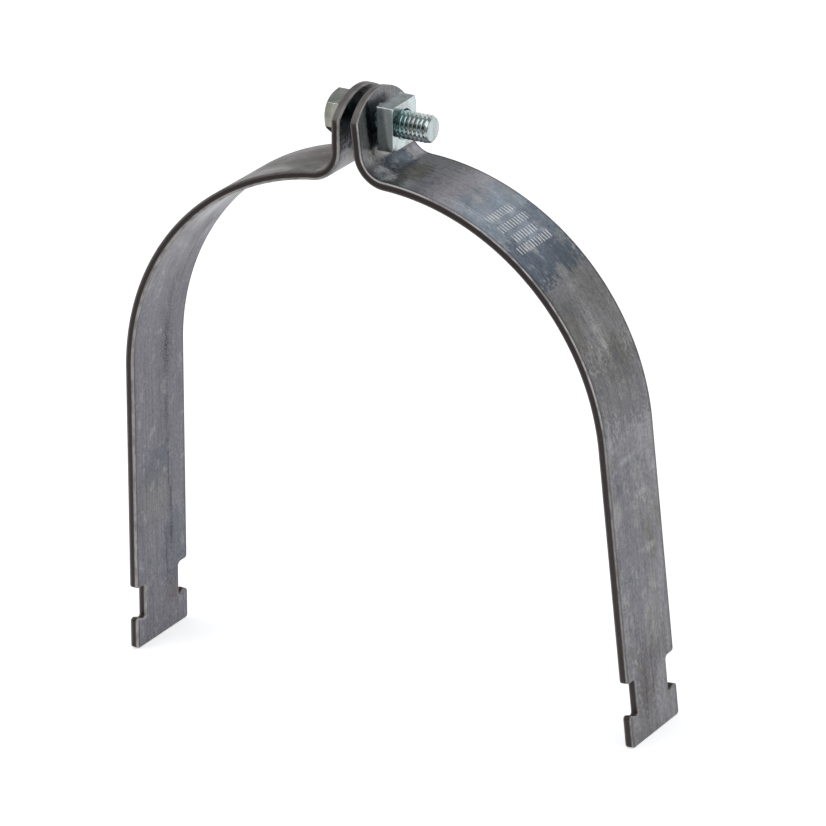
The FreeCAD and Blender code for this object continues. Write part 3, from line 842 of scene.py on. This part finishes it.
# The steel's patterns, with their pace along the strip, across it and through it
STEEL_PATTERNS = {
    "clouds": Pattern((0.035, 0.07, 0.05), 4.0, 0.55, 0.6),
    "blots": Pattern((0.16, 0.22, 0.09), 5.0, 0.62, 0.5),
    "mottle": Pattern((0.7, 0.85, 0.3), 4.0, 0.7),
    "grain": Pattern((1.7, 2.6, 0.9), 2.0, 0.6),
    "drawn": Pattern((0.02, 1.1, 0.06), 4.0, 0.65),
    "hairs": Pattern((0.03, 4.0, 0.06), 2.0, 0.5, 0.15),
    "specks": Pattern((0.9, 1.1, 0.4), 1.0, 0.5, 0.0, (31, 17, 0)),
    "tear": Pattern((0.22, 0.22, 0.03), 4.0, 0.65),
}
STEEL_CLOUDS = (Wash("clouds", 0.42, 0.68, 0.45, "steel_olive"),)
STEEL_SPOTS = (
    Wash("blots", 0.54, 0.72, 0.35, "steel_pale"),
    Wash("blots", 0.46, 0.28, 0.45, "steel_blue"),
    Wash("specks", 0.66, 0.74, 0.22, "steel_pale"),
    Wash("specks", 0.33, 0.25, 0.4, "steel_black"),
)
STEEL_SCRATCHES = (
    Wash("hairs", 0.66, 0.72, 0.3, "steel_pale"),
    Wash("hairs", 0.34, 0.28, 0.5, "steel_black"),
)

# The zinc's patterns, with their pace along the screw, across it and up. Its pattern axial is
# the place along the screw in millimetres: negative on the head, 24 at the screw's tip.
ZINC_PATTERNS = {
    "clouds": Pattern((0.12, 0.16, 0.16), 3.0, 0.55),
    "bands": Pattern((0.45, 0.3, 0.05), 2.0, 0.5, 0.0, (7, 3, 5)),
    "brushed": Pattern((0.4, 0.5, 4.0), 3.0, 0.6),
    "grain": Pattern((2.6, 2.6, 2.6), 2.0, 0.6),
}
ZINC_WASHES = (
    Wash("bands", 0.45, 0.65, 0.35, "zinc_warm"),
    Wash("axial", -7.0, -8.5, 0.85, "zinc_warm"),
    Wash("clouds", 0.50, 0.72, 0.6, "zinc_dull"),
    Wash("axial", 23.4, 23.8, 0.45, "zinc_dull"),
)

# Ramps, each as low, high and the values there where they aren't 0 and 1. The steel's lightness
# by its fine pattern, its painted shade beside its long edges in millimetres, its roughness, and
# how much of its scratches and of the ticks is left by wear
STEEL_SHADE = (0.38, 0.62, 0.65, 1.35)
EDGE_PAINTED_SHADE = (0.7, 1.5, 0.6, 1.0)
STEEL_ROUGHNESS = (0.6, 1.15, 0.26, 0.46)
SCRATCH_WEAR = (0.35, 0.6, 0.25, 1.0)
TICK_WEAR = (0.35, 0.55, 0.45, 1.0)
# The zinc's lightness by its fine pattern and by its bands, its roughness, and where along the
# screw the teal beside the nut begins and is full, in millimetres
ZINC_SHADE = (0.36, 0.64, 0.88, 1.10)
ZINC_BANDS = (0.35, 0.65, 1.08, 0.86)
ZINC_ROUGHNESS = (0.35, 0.7, 0.11, 0.22)
TEAL_START, TEAL_FULL = 19.0, 14.0

# A patch lies on one face of a strap, "outer" or "inner". Most are real stain patches; the ones
# marked below are painted shade, and one is a painted reflection. A patch's place along the strip
# from the ear's top, its place across and its half sizes are in millimetres. A flecked one is
# broken up into small spots.
Stain = namedtuple("Stain", "colour face along across half_length half_width strength flecked",
                   defaults=(False,))

# Where a patch starts and where it is full, in shares of its half sizes, how far blots and
# mottle push its rim, and the grain's level and sharpness that break a flecked one up
STAIN_AND_SHADE_START, STAIN_AND_SHADE_FULL = 1.15, 0.6
BLOT_PUSH, MOTTLE_PUSH = 1.1, 2.0
FLECK_LEVEL, FLECK_SHARPNESS = 0.56, 8.0

NUT_SIDE_STAINS_AND_SHADE = (
    Stain("steel_violet", "outer", 54, 0, 15, 24, 0.8),
    Stain("steel_sky", "outer", 74, 0, 17, 26, 0.8),
    Stain("steel_dull", "outer", 139, 0, 16, 26, 0.6),
    Stain("steel_dull", "outer", 205, -3, 46, 24, 0.15),
    Stain("steel_olive", "outer", 118, 0, 18, 22, 0.2),
    Stain("steel_blue", "outer", 79, -3, 11, 20, 0.3),
    Stain("steel_blue", "outer", 80, 12, 9, 7, 0.5),
    Stain("steel_blue", "outer", 91, -2, 9, 22, 0.9),
    Stain("steel_blue", "outer", 90, -12, 11, 9, 0.9),
    Stain("steel_slate", "outer", 192, -6, 42, 8, 0.9),
    Stain("steel_brown", "outer", 240, -3, 14, 7, 0.4),
    Stain("steel_black", "outer", 244, -4, 12, 0.5, 0.5),
    Stain("steel_black", "outer", 240, 1, 9, 0.4, 0.4),
    # painted shade: blue and black down the middle of the bend under the nut, where the nut shades
    # it
    Stain("steel_blue", "outer", 28, 1, 7, 9, 0.95),
    Stain("steel_blue", "outer", 33, -6, 4, 10, 0.6),
    Stain("steel_black", "outer", 31, 0, 5, 6, 0.4),
    Stain("steel_olive", "outer", 37, 0, 5, 9, 0.8),
    Stain("steel_olive", "outer", 36, -9, 3, 7, 0.5),
    Stain("etched", "outer", 30, -10.5, 5, 4.5, 1.0),
    Stain("steel_pale", "outer", 110, 4, 10, 24, 0.12),
    Stain("steel_pale", "outer", 44, 10, 7, 8, 0.15),
    # painted reflection: a pale patch on the bend just under the nut
    Stain("etched", "outer", 21.5, 2, 2.5, 9, 0.6),
    Stain("steel_pale", "outer", 97, 0, 3, 3, 0.45),
    Stain("steel_pale", "outer", 103, -1, 2, 1.5, 0.6),
    Stain("steel_pale", "outer", 111, -1, 5, 1.2, 0.5),
    Stain("steel_pale", "outer", 119, -2, 4, 1.5, 0.5),
    Stain("steel_pale", "outer", 124, -1, 2, 1.5, 0.6),
    Stain("steel_pale", "outer", 118, -1, 16, 2.5, 0.3, True),
    Stain("steel_pale", "outer", 163, -4, 1.3, 5, 0.4),
    Stain("steel_pale", "outer", 179, -12, 5, 3, 0.35),
    Stain("steel_pale", "outer", 177, 4, 1.3, 5, 0.3),
    Stain("steel_pale", "outer", 197, 6, 1.6, 5, 0.4),
    Stain("steel_pale", "outer", 221, 3, 9, 5, 0.2),
    Stain("steel_olive", "outer", 20.5, -7, 4, 6, 0.6),
    Stain("steel_pale", "outer", 9, -13.5, 12, 3.2, 0.55),
    # painted shadow: a black band on the ear beside the nut's side, where the nut shades it
    Stain("steel_black", "outer", 11, -9.0, 12, 1.6, 0.95),
    # painted shade: black on the ear's inner face, in the narrow gap between the two ears
    Stain("steel_black", "inner", 8, 0, 13, 20, 0.5),
)
HEAD_SIDE_STAINS_AND_SHADE = (
    Stain("steel_slate", "inner", 190, 0, 112, 40, 1.0),
    Stain("steel_brown", "outer", 46, 0, 46, 30, 0.95),
    Stain("steel_black", "outer", 45, 4, 9, 7, 0.35, True),
    # painted shade: black on the ear's inner face, in the narrow gap between the two ears
    Stain("steel_black", "inner", 9, 6, 11, 12, 0.93),
    Stain("steel_pale", "inner", 86, 2, 10, 14, 0.4),
    Stain("steel_pale", "inner", 207, 4, 9, 9, 0.2),
    Stain("steel_olive", "inner", 207, 4, 11, 11, 0.3),
    Stain("steel_black", "inner", 232, -3, 11, 0.6, 0.45),
    Stain("steel_brown", "inner", 245, -9, 7, 7, 0.4),
    Stain("steel_blue", "inner", 196, 3, 8, 10, 0.3),
    Stain("steel_blue", "inner", 231, -8, 16, 8, 0.35),
    Stain("steel_black", "inner", 131, -4, 9, 2, 0.5, True),
    Stain("steel_black", "inner", 152, -4.5, 14, 3, 0.85, True),
    Stain("steel_black", "inner", 177, -4, 9, 2, 0.6, True),
    Stain("steel_black", "inner", 118, -8.5, 24, 0.35, 0.55),
    Stain("steel_black", "inner", 198, -5, 9, 0.6, 0.5),
    Stain("steel_black", "inner", 212, -6, 6, 0.8, 0.55),
    Stain("steel_black", "inner", 224, -6, 6, 0.8, 0.5),
)

# The burr on a sheared edge, polished by wear and painted pale so that it also stands for the
# highlight along the edge: how far it reaches in, as a share of the thickness, and how much it
# shows round the pipe and down the leg
BurrAndSheen = namedtuple("BurrAndSheen", "reach strength leg_strength")

OUTER_BURR_AND_SHEEN = BurrAndSheen(0.155, 0.95, 0.45)
INNER_BURR_AND_SHEEN = BurrAndSheen(0.28, 0.6, 0.6)
# where along the strip the burr and its painted highlight change from the one strength to the
# other
BURR_SHEEN_ROUND_END, BURR_SHEEN_LEG_START = 130.0, 165.0
# beside its reach, the depths at which the burr and its painted highlight end and are full
BURR_SHEEN_END, BURR_SHEEN_FULL = 0.1, -0.07
# where along the strip the smoother edge round the ear ends and is full, and how ragged it ends
EAR_EDGE_END, EAR_EDGE_FULL, EAR_EDGE_RAGGED = 11.0, 8.5, 4.0
# how much of the smooth rim and of the burr, with its painted highlight, shows round the ear
EAR_RIM, EAR_BURR_SHEEN = 0.75, 0.35
# ramps: the smooth rim by depth, what the tear leaves of it and of the burr with its painted
# highlight, and pale flecks
RIM_DEPTH = (0.68, 0.92)
RIM_TEAR = (0.3, 0.6, 0.55, 1.0)
BURR_SHEEN_TEAR = (0.34, 0.6, 0.5, 1.0)
EDGE_FLECKS = (0.55, 0.72, 0.0, 0.3)
# where the face turns into the sheared edge, how metallic the edge is and how much rougher
ON_CUT = (0.2, 0.9)
CUT_METALLIC = 0.35
CUT_ROUGHER = 0.12

# Rows of plain etched ticks across the nut side strap: place along, from and to across, in mm
TICK_ROWS = (
    (69.5, -8.9, 7.1),
    (74.7, -10.0, 8.7),
    (79.7, -8.6, 7.1),
    (84.2, -11.2, 9.9),
)
TICK_HEIGHT = 3.0
TICK_PITCH = 1.6
TICK_WIDTH = 0.42
TICK_BLUR = 0.15
# how much rougher the ticks are, and their depth as a share of the bump's height
TICK_ROUGHER = 0.2
TICK_DEPTH = 0.3


def stain_and_shade_share(nodes, place, rim, stain, thickness):
    """How strongly one of the patches, stains and painted shade alike, covers each point: an oval
    whose rim a pattern pushes in and out.
    """
    depth = thickness if stain.face == "outer" else 0
    middle = (stain.along, stain.across, depth)
    halves = (stain.half_length, stain.half_width, 1)
    reach = nodes.scaled(place, [1 / half for half in halves],
                         [-centre / half for centre, half in zip(middle, halves)])
    far = nodes.plus(nodes.measured("LENGTH", reach), rim)
    return nodes.step(far, STAIN_AND_SHADE_START, STAIN_AND_SHADE_FULL, 0.0, stain.strength)


def tick_share(nodes, along, across):
    """1 on the etched ticks, 0 elsewhere."""
    phase = nodes.math("FRACT", nodes.math("DIVIDE", across, TICK_PITCH))
    stroke = nodes.math("LESS_THAN", nodes.math("ABSOLUTE", nodes.minus(phase, 0.5)),
                        TICK_WIDTH / TICK_PITCH / 2)
    rows = 0.0
    for middle, first, last in TICK_ROWS:
        off = nodes.math("ABSOLUTE", nodes.minus(along, middle))
        aside = nodes.math("ABSOLUTE", nodes.minus(across, (first + last) / 2))
        row = nodes.times(
            nodes.step(off, TICK_HEIGHT / 2 + TICK_BLUR, TICK_HEIGHT / 2 - TICK_BLUR),
            nodes.math("LESS_THAN", aside, (last - first) / 2))
        rows = nodes.plus(rows, row)
    return nodes.times(stroke, rows)


def cut_edge(nodes, along, share, burr, look, colours):
    """Colour of the sheared edge. The share runs from the burr, 0, which is polished by wear and
    painted pale as the highlight along the edge too, through the torn dark middle to the smooth
    far corner, 1. Round the ear the whole edge is smoother."""
    ear = nodes.step(nodes.plus(along, nodes.times(look.tear, EAR_EDGE_RAGGED)),
                     EAR_EDGE_END, EAR_EDGE_FULL)
    rim = nodes.math("MAXIMUM", nodes.times(ear, EAR_RIM), nodes.step(share, *RIM_DEPTH))
    rim = nodes.times(rim, nodes.step(look.tear, *RIM_TEAR))
    colour = nodes.blend(rim, colours.cut_dark, colours.cut_rim)
    colour = nodes.blend(nodes.step(look.mottle, *EDGE_FLECKS), colour, colours.cut_rim)
    # the burr along the edge: real wear and a painted highlight in one
    burr_and_sheen = nodes.times(
        nodes.step(share, burr.reach + BURR_SHEEN_END, burr.reach + BURR_SHEEN_FULL),
        nodes.step(look.tear, *BURR_SHEEN_TEAR),
        nodes.step(along, BURR_SHEEN_ROUND_END, BURR_SHEEN_LEG_START, burr.strength, burr.leg_strength),
        nodes.step(ear, 0.0, 1.0, 1.0, EAR_BURR_SHEEN))
    return nodes.blend(burr_and_sheen, colour, colours.cut_burr_and_sheen)


def flat_face(nodes, place, look, colours, stains, thickness):
    """Colour of a strap's faces: brown clouds, the stain patches and painted shade, then spots and
    hairline scratches.
    """
    colour = nodes.washed(colours.steel, look, STEEL_CLOUDS, colours)
    ragged = nodes.weighted((nodes.minus(look.blots, 0.5), BLOT_PUSH),
                            (nodes.minus(look.mottle, 0.5), MOTTLE_PUSH))
    flecked = nodes.times(nodes.minus(FLECK_LEVEL, look.grain), FLECK_SHARPNESS)
    for stain in stains:
        rim = flecked if stain.flecked else ragged
        colour = nodes.blend(stain_and_shade_share(nodes, place, rim, stain, thickness), colour,
                             getattr(colours, stain.colour))
    colour = nodes.washed(colour, look, STEEL_SPOTS, colours)
    return nodes.washed(colour, look, STEEL_SCRATCHES, colours,
                        nodes.step(look.clouds, *SCRATCH_WEAR))


def strap_finish(name, shift, colours, sizes, stains, outer_burr):
    """Rolled steel with oil and heat staining, hairline scratches and a dark sheared edge. Painted
    shade lies beside the long edges and in a few places, with one painted reflection, and the
    burr along the edge is painted pale to stand for its highlight too. All patterns are laid out
    on the flat strip, in millimetres. The strap whose burr is on its outer side also has the
    etched ticks."""
    nodes = Nodes(bpy.data.materials.new(name))
    thickness = sizes.thickness / MM
    flat = nodes.add("Attribute", attribute_name="strip").outputs["Vector"]
    cut = nodes.add("Attribute", attribute_name="cut").outputs["Fac"]
    place = nodes.in_millimetres(flat)
    along, across, depth = nodes.add("SeparateXYZ", {0: place}).outputs
    # the inner and the outer face get patterns of their own
    apart = nodes.scaled(place, (1, 1, 20), shift)
    look = SimpleNamespace(**{kind: nodes.noise(apart, pattern)
                              for kind, pattern in STEEL_PATTERNS.items()})

    colour = flat_face(nodes, place, look, colours, stains, thickness)
    fine = nodes.weighted((look.mottle, 0.42), (look.grain, 0.25), (look.drawn, 0.33))
    # painted shade: darker beside the long edges, where the face turns into the rounded edge
    margin = nodes.minus(sizes.width / 2 / MM, nodes.math("ABSOLUTE", across))
    shade = nodes.times(nodes.step(fine, *STEEL_SHADE, smooth=False),
                        nodes.step(margin, *EDGE_PAINTED_SHADE))
    colour = nodes.shaded(colour, shade)
    height = nodes.weighted((fine, 0.8), (look.blots, 0.4))
    rough = nodes.step(nodes.plus(look.clouds, nodes.times(fine, 0.7)), *STEEL_ROUGHNESS)

    share = nodes.math("DIVIDE", depth, thickness)
    if outer_burr:
        outer_face = nodes.math("GREATER_THAN", share, 0.9)
        ticks = nodes.times(tick_share(nodes, along, across), outer_face,
                            nodes.step(look.mottle, *TICK_WEAR))
        colour = nodes.blend(ticks, colour, colours.etched)
        rough = nodes.plus(rough, nodes.times(ticks, TICK_ROUGHER))
        height = nodes.minus(height, nodes.times(ticks, TICK_DEPTH))
        share = nodes.minus(1.0, share)
    edge = cut_edge(nodes, along, share, OUTER_BURR_AND_SHEEN if outer_burr else INNER_BURR_AND_SHEEN, look, colours)
    on_cut = nodes.step(cut, *ON_CUT)
    colour = nodes.blend(on_cut, colour, edge)
    rough = nodes.plus(rough, nodes.times(on_cut, CUT_ROUGHER))
    metallic = nodes.step(on_cut, 0.0, 1.0, 1.0, CUT_METALLIC, smooth=False)
    return nodes.finish(colour, rough, metallic, height, strength=0.22, distance=0.06 * MM)


def zinc_finish(name, shift, colours, sheltered=0.0):
    """Bright zinc plating with warm and dull clouds and a fine brushed grain. It is warmer on
    the screw's head, and a given share of darker teal is laid on it beside the nut."""
    nodes = Nodes(bpy.data.materials.new(name))
    centred = nodes.in_millimetres(nodes.add("TexCoord").outputs["Object"])
    place = nodes.scaled(centred, (1, 1, 1), shift)
    look = SimpleNamespace(**{kind: nodes.noise(place, pattern)
                              for kind, pattern in ZINC_PATTERNS.items()})
    look.axial = nodes.add("SeparateXYZ", {0: centred}).outputs[0]
    colour = nodes.washed(colours.zinc, look, ZINC_WASHES, colours)
    # sheltered is the share of darker teal laid on the thread beside the nut
    beside_nut = nodes.times(nodes.step(look.axial, TEAL_START, TEAL_FULL, 0.0, sheltered),
                             nodes.math("GREATER_THAN", look.axial, 0.0))
    colour = nodes.blend(beside_nut, colour, colours.zinc_teal)
    fine = nodes.weighted((look.brushed, 0.5), (look.grain, 0.5))
    shade = nodes.times(nodes.step(fine, *ZINC_SHADE, smooth=False),
                        nodes.step(look.bands, *ZINC_BANDS))
    rough = nodes.step(look.clouds, *ZINC_ROUGHNESS)
    return nodes.finish(nodes.shaded(colour, shade), rough, 1.0, fine, strength=0.10,
                        distance=0.03 * MM)


# A strap's mesh, the side it is on, its body and CAD node, how far its patterns are moved, and
# its stain patches with their painted shade
StrapPlan = namedtuple("StrapPlan", "name side body node shift stains")

STRAP_PLANS = (
    StrapPlan("head_side_strap", -1, "head_side", "strap_head_side", (310, 70, 0),
              HEAD_SIDE_STAINS_AND_SHADE),
    StrapPlan("nut_side_strap", 1, "nut_side", "strap_nut_side", (0, 0, 0), NUT_SIDE_STAINS_AND_SHADE),
)


class CLAMP_OT_straps(bpy.types.Operator):
    """Build the two bent straps"""

    bl_idname = "clamp.straps"
    bl_label = "Build straps"

    def execute(self, context):
        sizes = context.scene.clamp_strap
        colours = context.scene.clamp_colours
        for plan in STRAP_PLANS:
            finish = strap_finish(plan.name + "_steel", plan.shift, colours, sizes, plan.stains,
                                  outer_burr=plan.side > 0)
            mesh = strap_mesh(StrapForm(sizes, plan.side), plan.name)
            add_piece(mesh, plan.body, plan.node, finish)
        return {"FINISHED"}


class CLAMP_OT_screw(bpy.types.Operator):
    """Build the hex head screw with its thread"""

    bl_idname = "clamp.screw"
    bl_label = "Build screw"

    def execute(self, context):
        finish = zinc_finish("screw_zinc", (0, 0, 0), context.scene.clamp_colours,
                             sheltered=0.7)
        add_piece(screw_mesh(context.scene.clamp_screw), "screw", "hex_screw",
                  finish)
        return {"FINISHED"}


class CLAMP_OT_nut(bpy.types.Operator):
    """Build the square nut with its thread"""

    bl_idname = "clamp.nut"
    bl_label = "Build nut"

    def execute(self, context):
        finish = zinc_finish("nut_zinc", (100, 50, 20), context.scene.clamp_colours)
        mesh = nut_mesh(context.scene.clamp_nut, context.scene.clamp_screw)
        add_piece(mesh, "nut", "square_nut", finish)
        return {"FINISHED"}


# A soft box that shines at the clamp: where it is, its width and height, and its brightness
Lamp = namedtuple("Lamp", "name centre width height radiance")

LAMPS = (
    Lamp("back box", (0.2, 0.95, 0.75), 0.9, 0.45, 1.2),
    Lamp("front box", (-0.55, -0.4, 0.9), 0.6, 0.5, 2.0),
    Lamp("right box", (1.0, 0.1, 0.6), 0.5, 0.6, 1.2),
)
LAMP_AIM = (0, 0, 0.03)

WHITE = (1, 1, 1)
MATT_FLOOR = (0.8, 0.8, 0.8, 1)
# how much light of its own the floor shows to the camera, and to what mirrors it
FLOOR_GLOW, MIRRORED_FLOOR_GLOW = 0.55, 0.35
# light that the room gives to everything matt
FILL = (0.6, 0.61, 0.63)
# what metal mirrors: the room low down and high up, and in front of it a bench under a dark wall
ROOM_LOW, ROOM_HIGH = (0.19, 0.195, 0.20), (0.31, 0.32, 0.33)
BENCH_FOOT, BENCH = (0.19, 0.20, 0.21), (0.52, 0.52, 0.5)
DARK_WALL = (0.03, 0.035, 0.04)
# the level directions in which the white background and the dark wall lie
BACKGROUND_WAY, WALL_WAY = (0.35, 0.94, 0), (-0.5, -0.87, 0)
# soft limits of the room's parts, by height and by how far a direction is turned towards them,
# each a share from -1 to 1
HORIZON = (-0.08, 0.08)
BENCH_BACK = (-0.42, -0.15)
WALL_FOOT = (-0.02, 0.14)
WALL_TOP = (0.5, 0.7)
WALL_SIDE = (0.2, 0.55)
BACKGROUND_SIDE = (0.0, 0.6)
BACKGROUND_TOP = (0.42, 0.12)
SENSOR_WIDTH = 36
NEAREST_SEEN, FARTHEST_SEEN = 0.1, 20


def add_lamp(lamp):
    """A rectangular soft box that looks as bright as its radiance from the clamp."""
    data = bpy.data.lights.new(lamp.name, "AREA")
    data.shape = "RECTANGLE"
    data.size, data.size_y = lamp.width, lamp.height
    data.energy = lamp.radiance * math.pi * lamp.width * lamp.height
    made = bpy.data.objects.new(lamp.name, data)
    made.location = lamp.centre
    made.rotation_mode = "QUATERNION"
    aim = Vector(LAMP_AIM) - Vector(lamp.centre)
    made.rotation_quaternion = aim.to_track_quat("-Z", "Y")
    bpy.context.scene.collection.objects.link(made)


def camera_basis(stage):
    """The camera's right, up and back directions."""
    back = Vector((math.sin(stage.azimuth) * math.cos(stage.elevation),
                   -math.cos(stage.azimuth) * math.cos(stage.elevation),
                   math.sin(stage.elevation)))
    level = Vector((math.cos(stage.azimuth), math.sin(stage.azimuth), 0))
    upright = back.cross(level)
    right = level * math.cos(stage.roll) + upright * math.sin(stage.roll)
    return right, back.cross(right), back


def add_camera(stage):
    """The camera that sees the clamp as the photograph does."""
    data = bpy.data.cameras.new("camera")
    data.lens = stage.lens
    data.sensor_width = SENSOR_WIDTH
    data.clip_start, data.clip_end = NEAREST_SEEN, FARTHEST_SEEN
    camera = bpy.data.objects.new("camera", data)
    right, upright, back = camera_basis(stage)
    place = Vector(stage.target) + back * stage.distance
    facing = Matrix((right, upright, back)).transposed().to_4x4()
    camera.matrix_world = Matrix.Translation(place) @ facing
    bpy.context.scene.collection.objects.link(camera)
    bpy.context.scene.camera = camera


def mirrored_share(nodes, path):
    """1 for what metal and glass mirror, 0 for the rest."""
    return nodes.math("ADD", path.outputs["Is Glossy Ray"], path.outputs["Is Transmission Ray"],
                      clamp=True)


def floor_finish():
    """A pale matt floor that shows white but keeps the object's shadow."""
    nodes = Nodes(bpy.data.materials.new("pale_floor"))
    path = nodes.add("LightPath")
    level = nodes.weighted((path.outputs["Is Camera Ray"], FLOOR_GLOW),
                           (mirrored_share(nodes, path), MIRRORED_FLOOR_GLOW))
    matt = nodes.add("BsdfDiffuse", {"Color": MATT_FLOOR})
    white = nodes.add("Emission", {"Color": (*WHITE, 1), "Strength": level})
    both = nodes.add("AddShader", {0: matt.outputs[0], 1: white.outputs[0]})
    nodes.add("OutputMaterial", {"Surface": both.outputs[0]})
    return nodes.holder


def studio_room(nodes):
    """What metal mirrors: a white background low behind the object, a grey studio round it,
    and a dark wall in front over a grey bench."""
    way = nodes.add("TexCoord").outputs["Generated"]
    upward = nodes.add("SeparateXYZ", {0: way}).outputs[2]
    behind = nodes.measured("DOT_PRODUCT", way, BACKGROUND_WAY)
    before = nodes.measured("DOT_PRODUCT", way, WALL_WAY)
    room = nodes.blend(nodes.step(upward, *HORIZON), ROOM_LOW, ROOM_HIGH)
    wall = nodes.blend(nodes.step(upward, *BENCH_BACK), BENCH_FOOT, BENCH)
    wall = nodes.blend(nodes.step(upward, *WALL_FOOT), wall, DARK_WALL)
    wall = nodes.blend(nodes.step(upward, *WALL_TOP), wall, ROOM_HIGH)
    room = nodes.blend(nodes.step(before, *WALL_SIDE), room, wall)
    background = nodes.times(nodes.step(behind, *BACKGROUND_SIDE),
                             nodes.step(upward, *BACKGROUND_TOP))
    return nodes.blend(background, room, WHITE)


def set_world():
    """A soft grey studio. The camera sees only white, and metal mirrors the studio's room."""
    world = bpy.data.worlds.new("studio")
    bpy.context.scene.world = world
    nodes = Nodes(world)
    path = nodes.add("LightPath")
    colour = nodes.blend(mirrored_share(nodes, path), FILL, studio_room(nodes))
    colour = nodes.blend(path.outputs["Is Camera Ray"], colour, WHITE)
    light = nodes.add("Background", {"Color": colour})
    nodes.add("OutputWorld", {"Surface": light.outputs[0]})


def add_floor(stage):
    """The square floor just under the feet."""
    lowest = CAD_BOX[0].z - stage.floor_gap
    half = stage.floor_size / 2
    front, back = -stage.floor_front, 2 * half - stage.floor_front
    build = bmesh.new()
    build.faces.new([build.verts.new(corner) for corner in (
        (-half, front, lowest), (half, front, lowest), (half, back, lowest),
        (-half, back, lowest))])
    floor = make_object(build, "floor")
    floor.data.materials.append(floor_finish())


class CLAMP_OT_stage(bpy.types.Operator):
    """Build the floor, lamps and camera"""

    bl_idname = "clamp.stage"
    bl_label = "Build stage"

    def execute(self, context):
        add_floor(context.scene.clamp_stage)
        for lamp in LAMPS:
            add_lamp(lamp)
        set_world()
        add_camera(context.scene.clamp_stage)
        context.scene.view_settings.view_transform = "Standard"
        return {"FINISHED"}


class CLAMP_PT_panel(bpy.types.Panel):
    """Lists the clamp's operators"""

    bl_idname = "CLAMP_PT_panel"
    bl_label = "Conduit clamp"
    bl_space_type = "VIEW_3D"
    bl_region_type = "UI"
    bl_category = "Clamp"

    def draw(self, context):
        for operator in OPERATORS:
            self.layout.operator(operator.bl_idname)


OPERATORS = (CLAMP_OT_straps, CLAMP_OT_screw, CLAMP_OT_nut, CLAMP_OT_stage)
GROUPS = {
    "clamp_strap": StrapSizes,
    "clamp_screw": ScrewSizes,
    "clamp_nut": NutSizes,
    "clamp_colours": FinishColours,
    "clamp_stage": StageSizes,
}
CLASSES = (*GROUPS.values(), *OPERATORS, CLAMP_PT_panel)


def register():
    """Register the classes and hang the groups of sizes on the scene."""
    for item in CLASSES:
        bpy.utils.register_class(item)
    for name, group in GROUPS.items():
        setattr(bpy.types.Scene, name, PointerProperty(type=group))


def unregister():
    """Undo register, in the other order."""
    for name in GROUPS:
        delattr(bpy.types.Scene, name)
    for item in reversed(CLASSES):
        bpy.utils.unregister_class(item)


def main():
    """Build the clamp and its stage."""
    register()
    bpy.ops.clamp.straps()
    bpy.ops.clamp.screw()
    bpy.ops.clamp.nut()
    bpy.ops.clamp.stage()


if __name__ == "__main__":
    main()
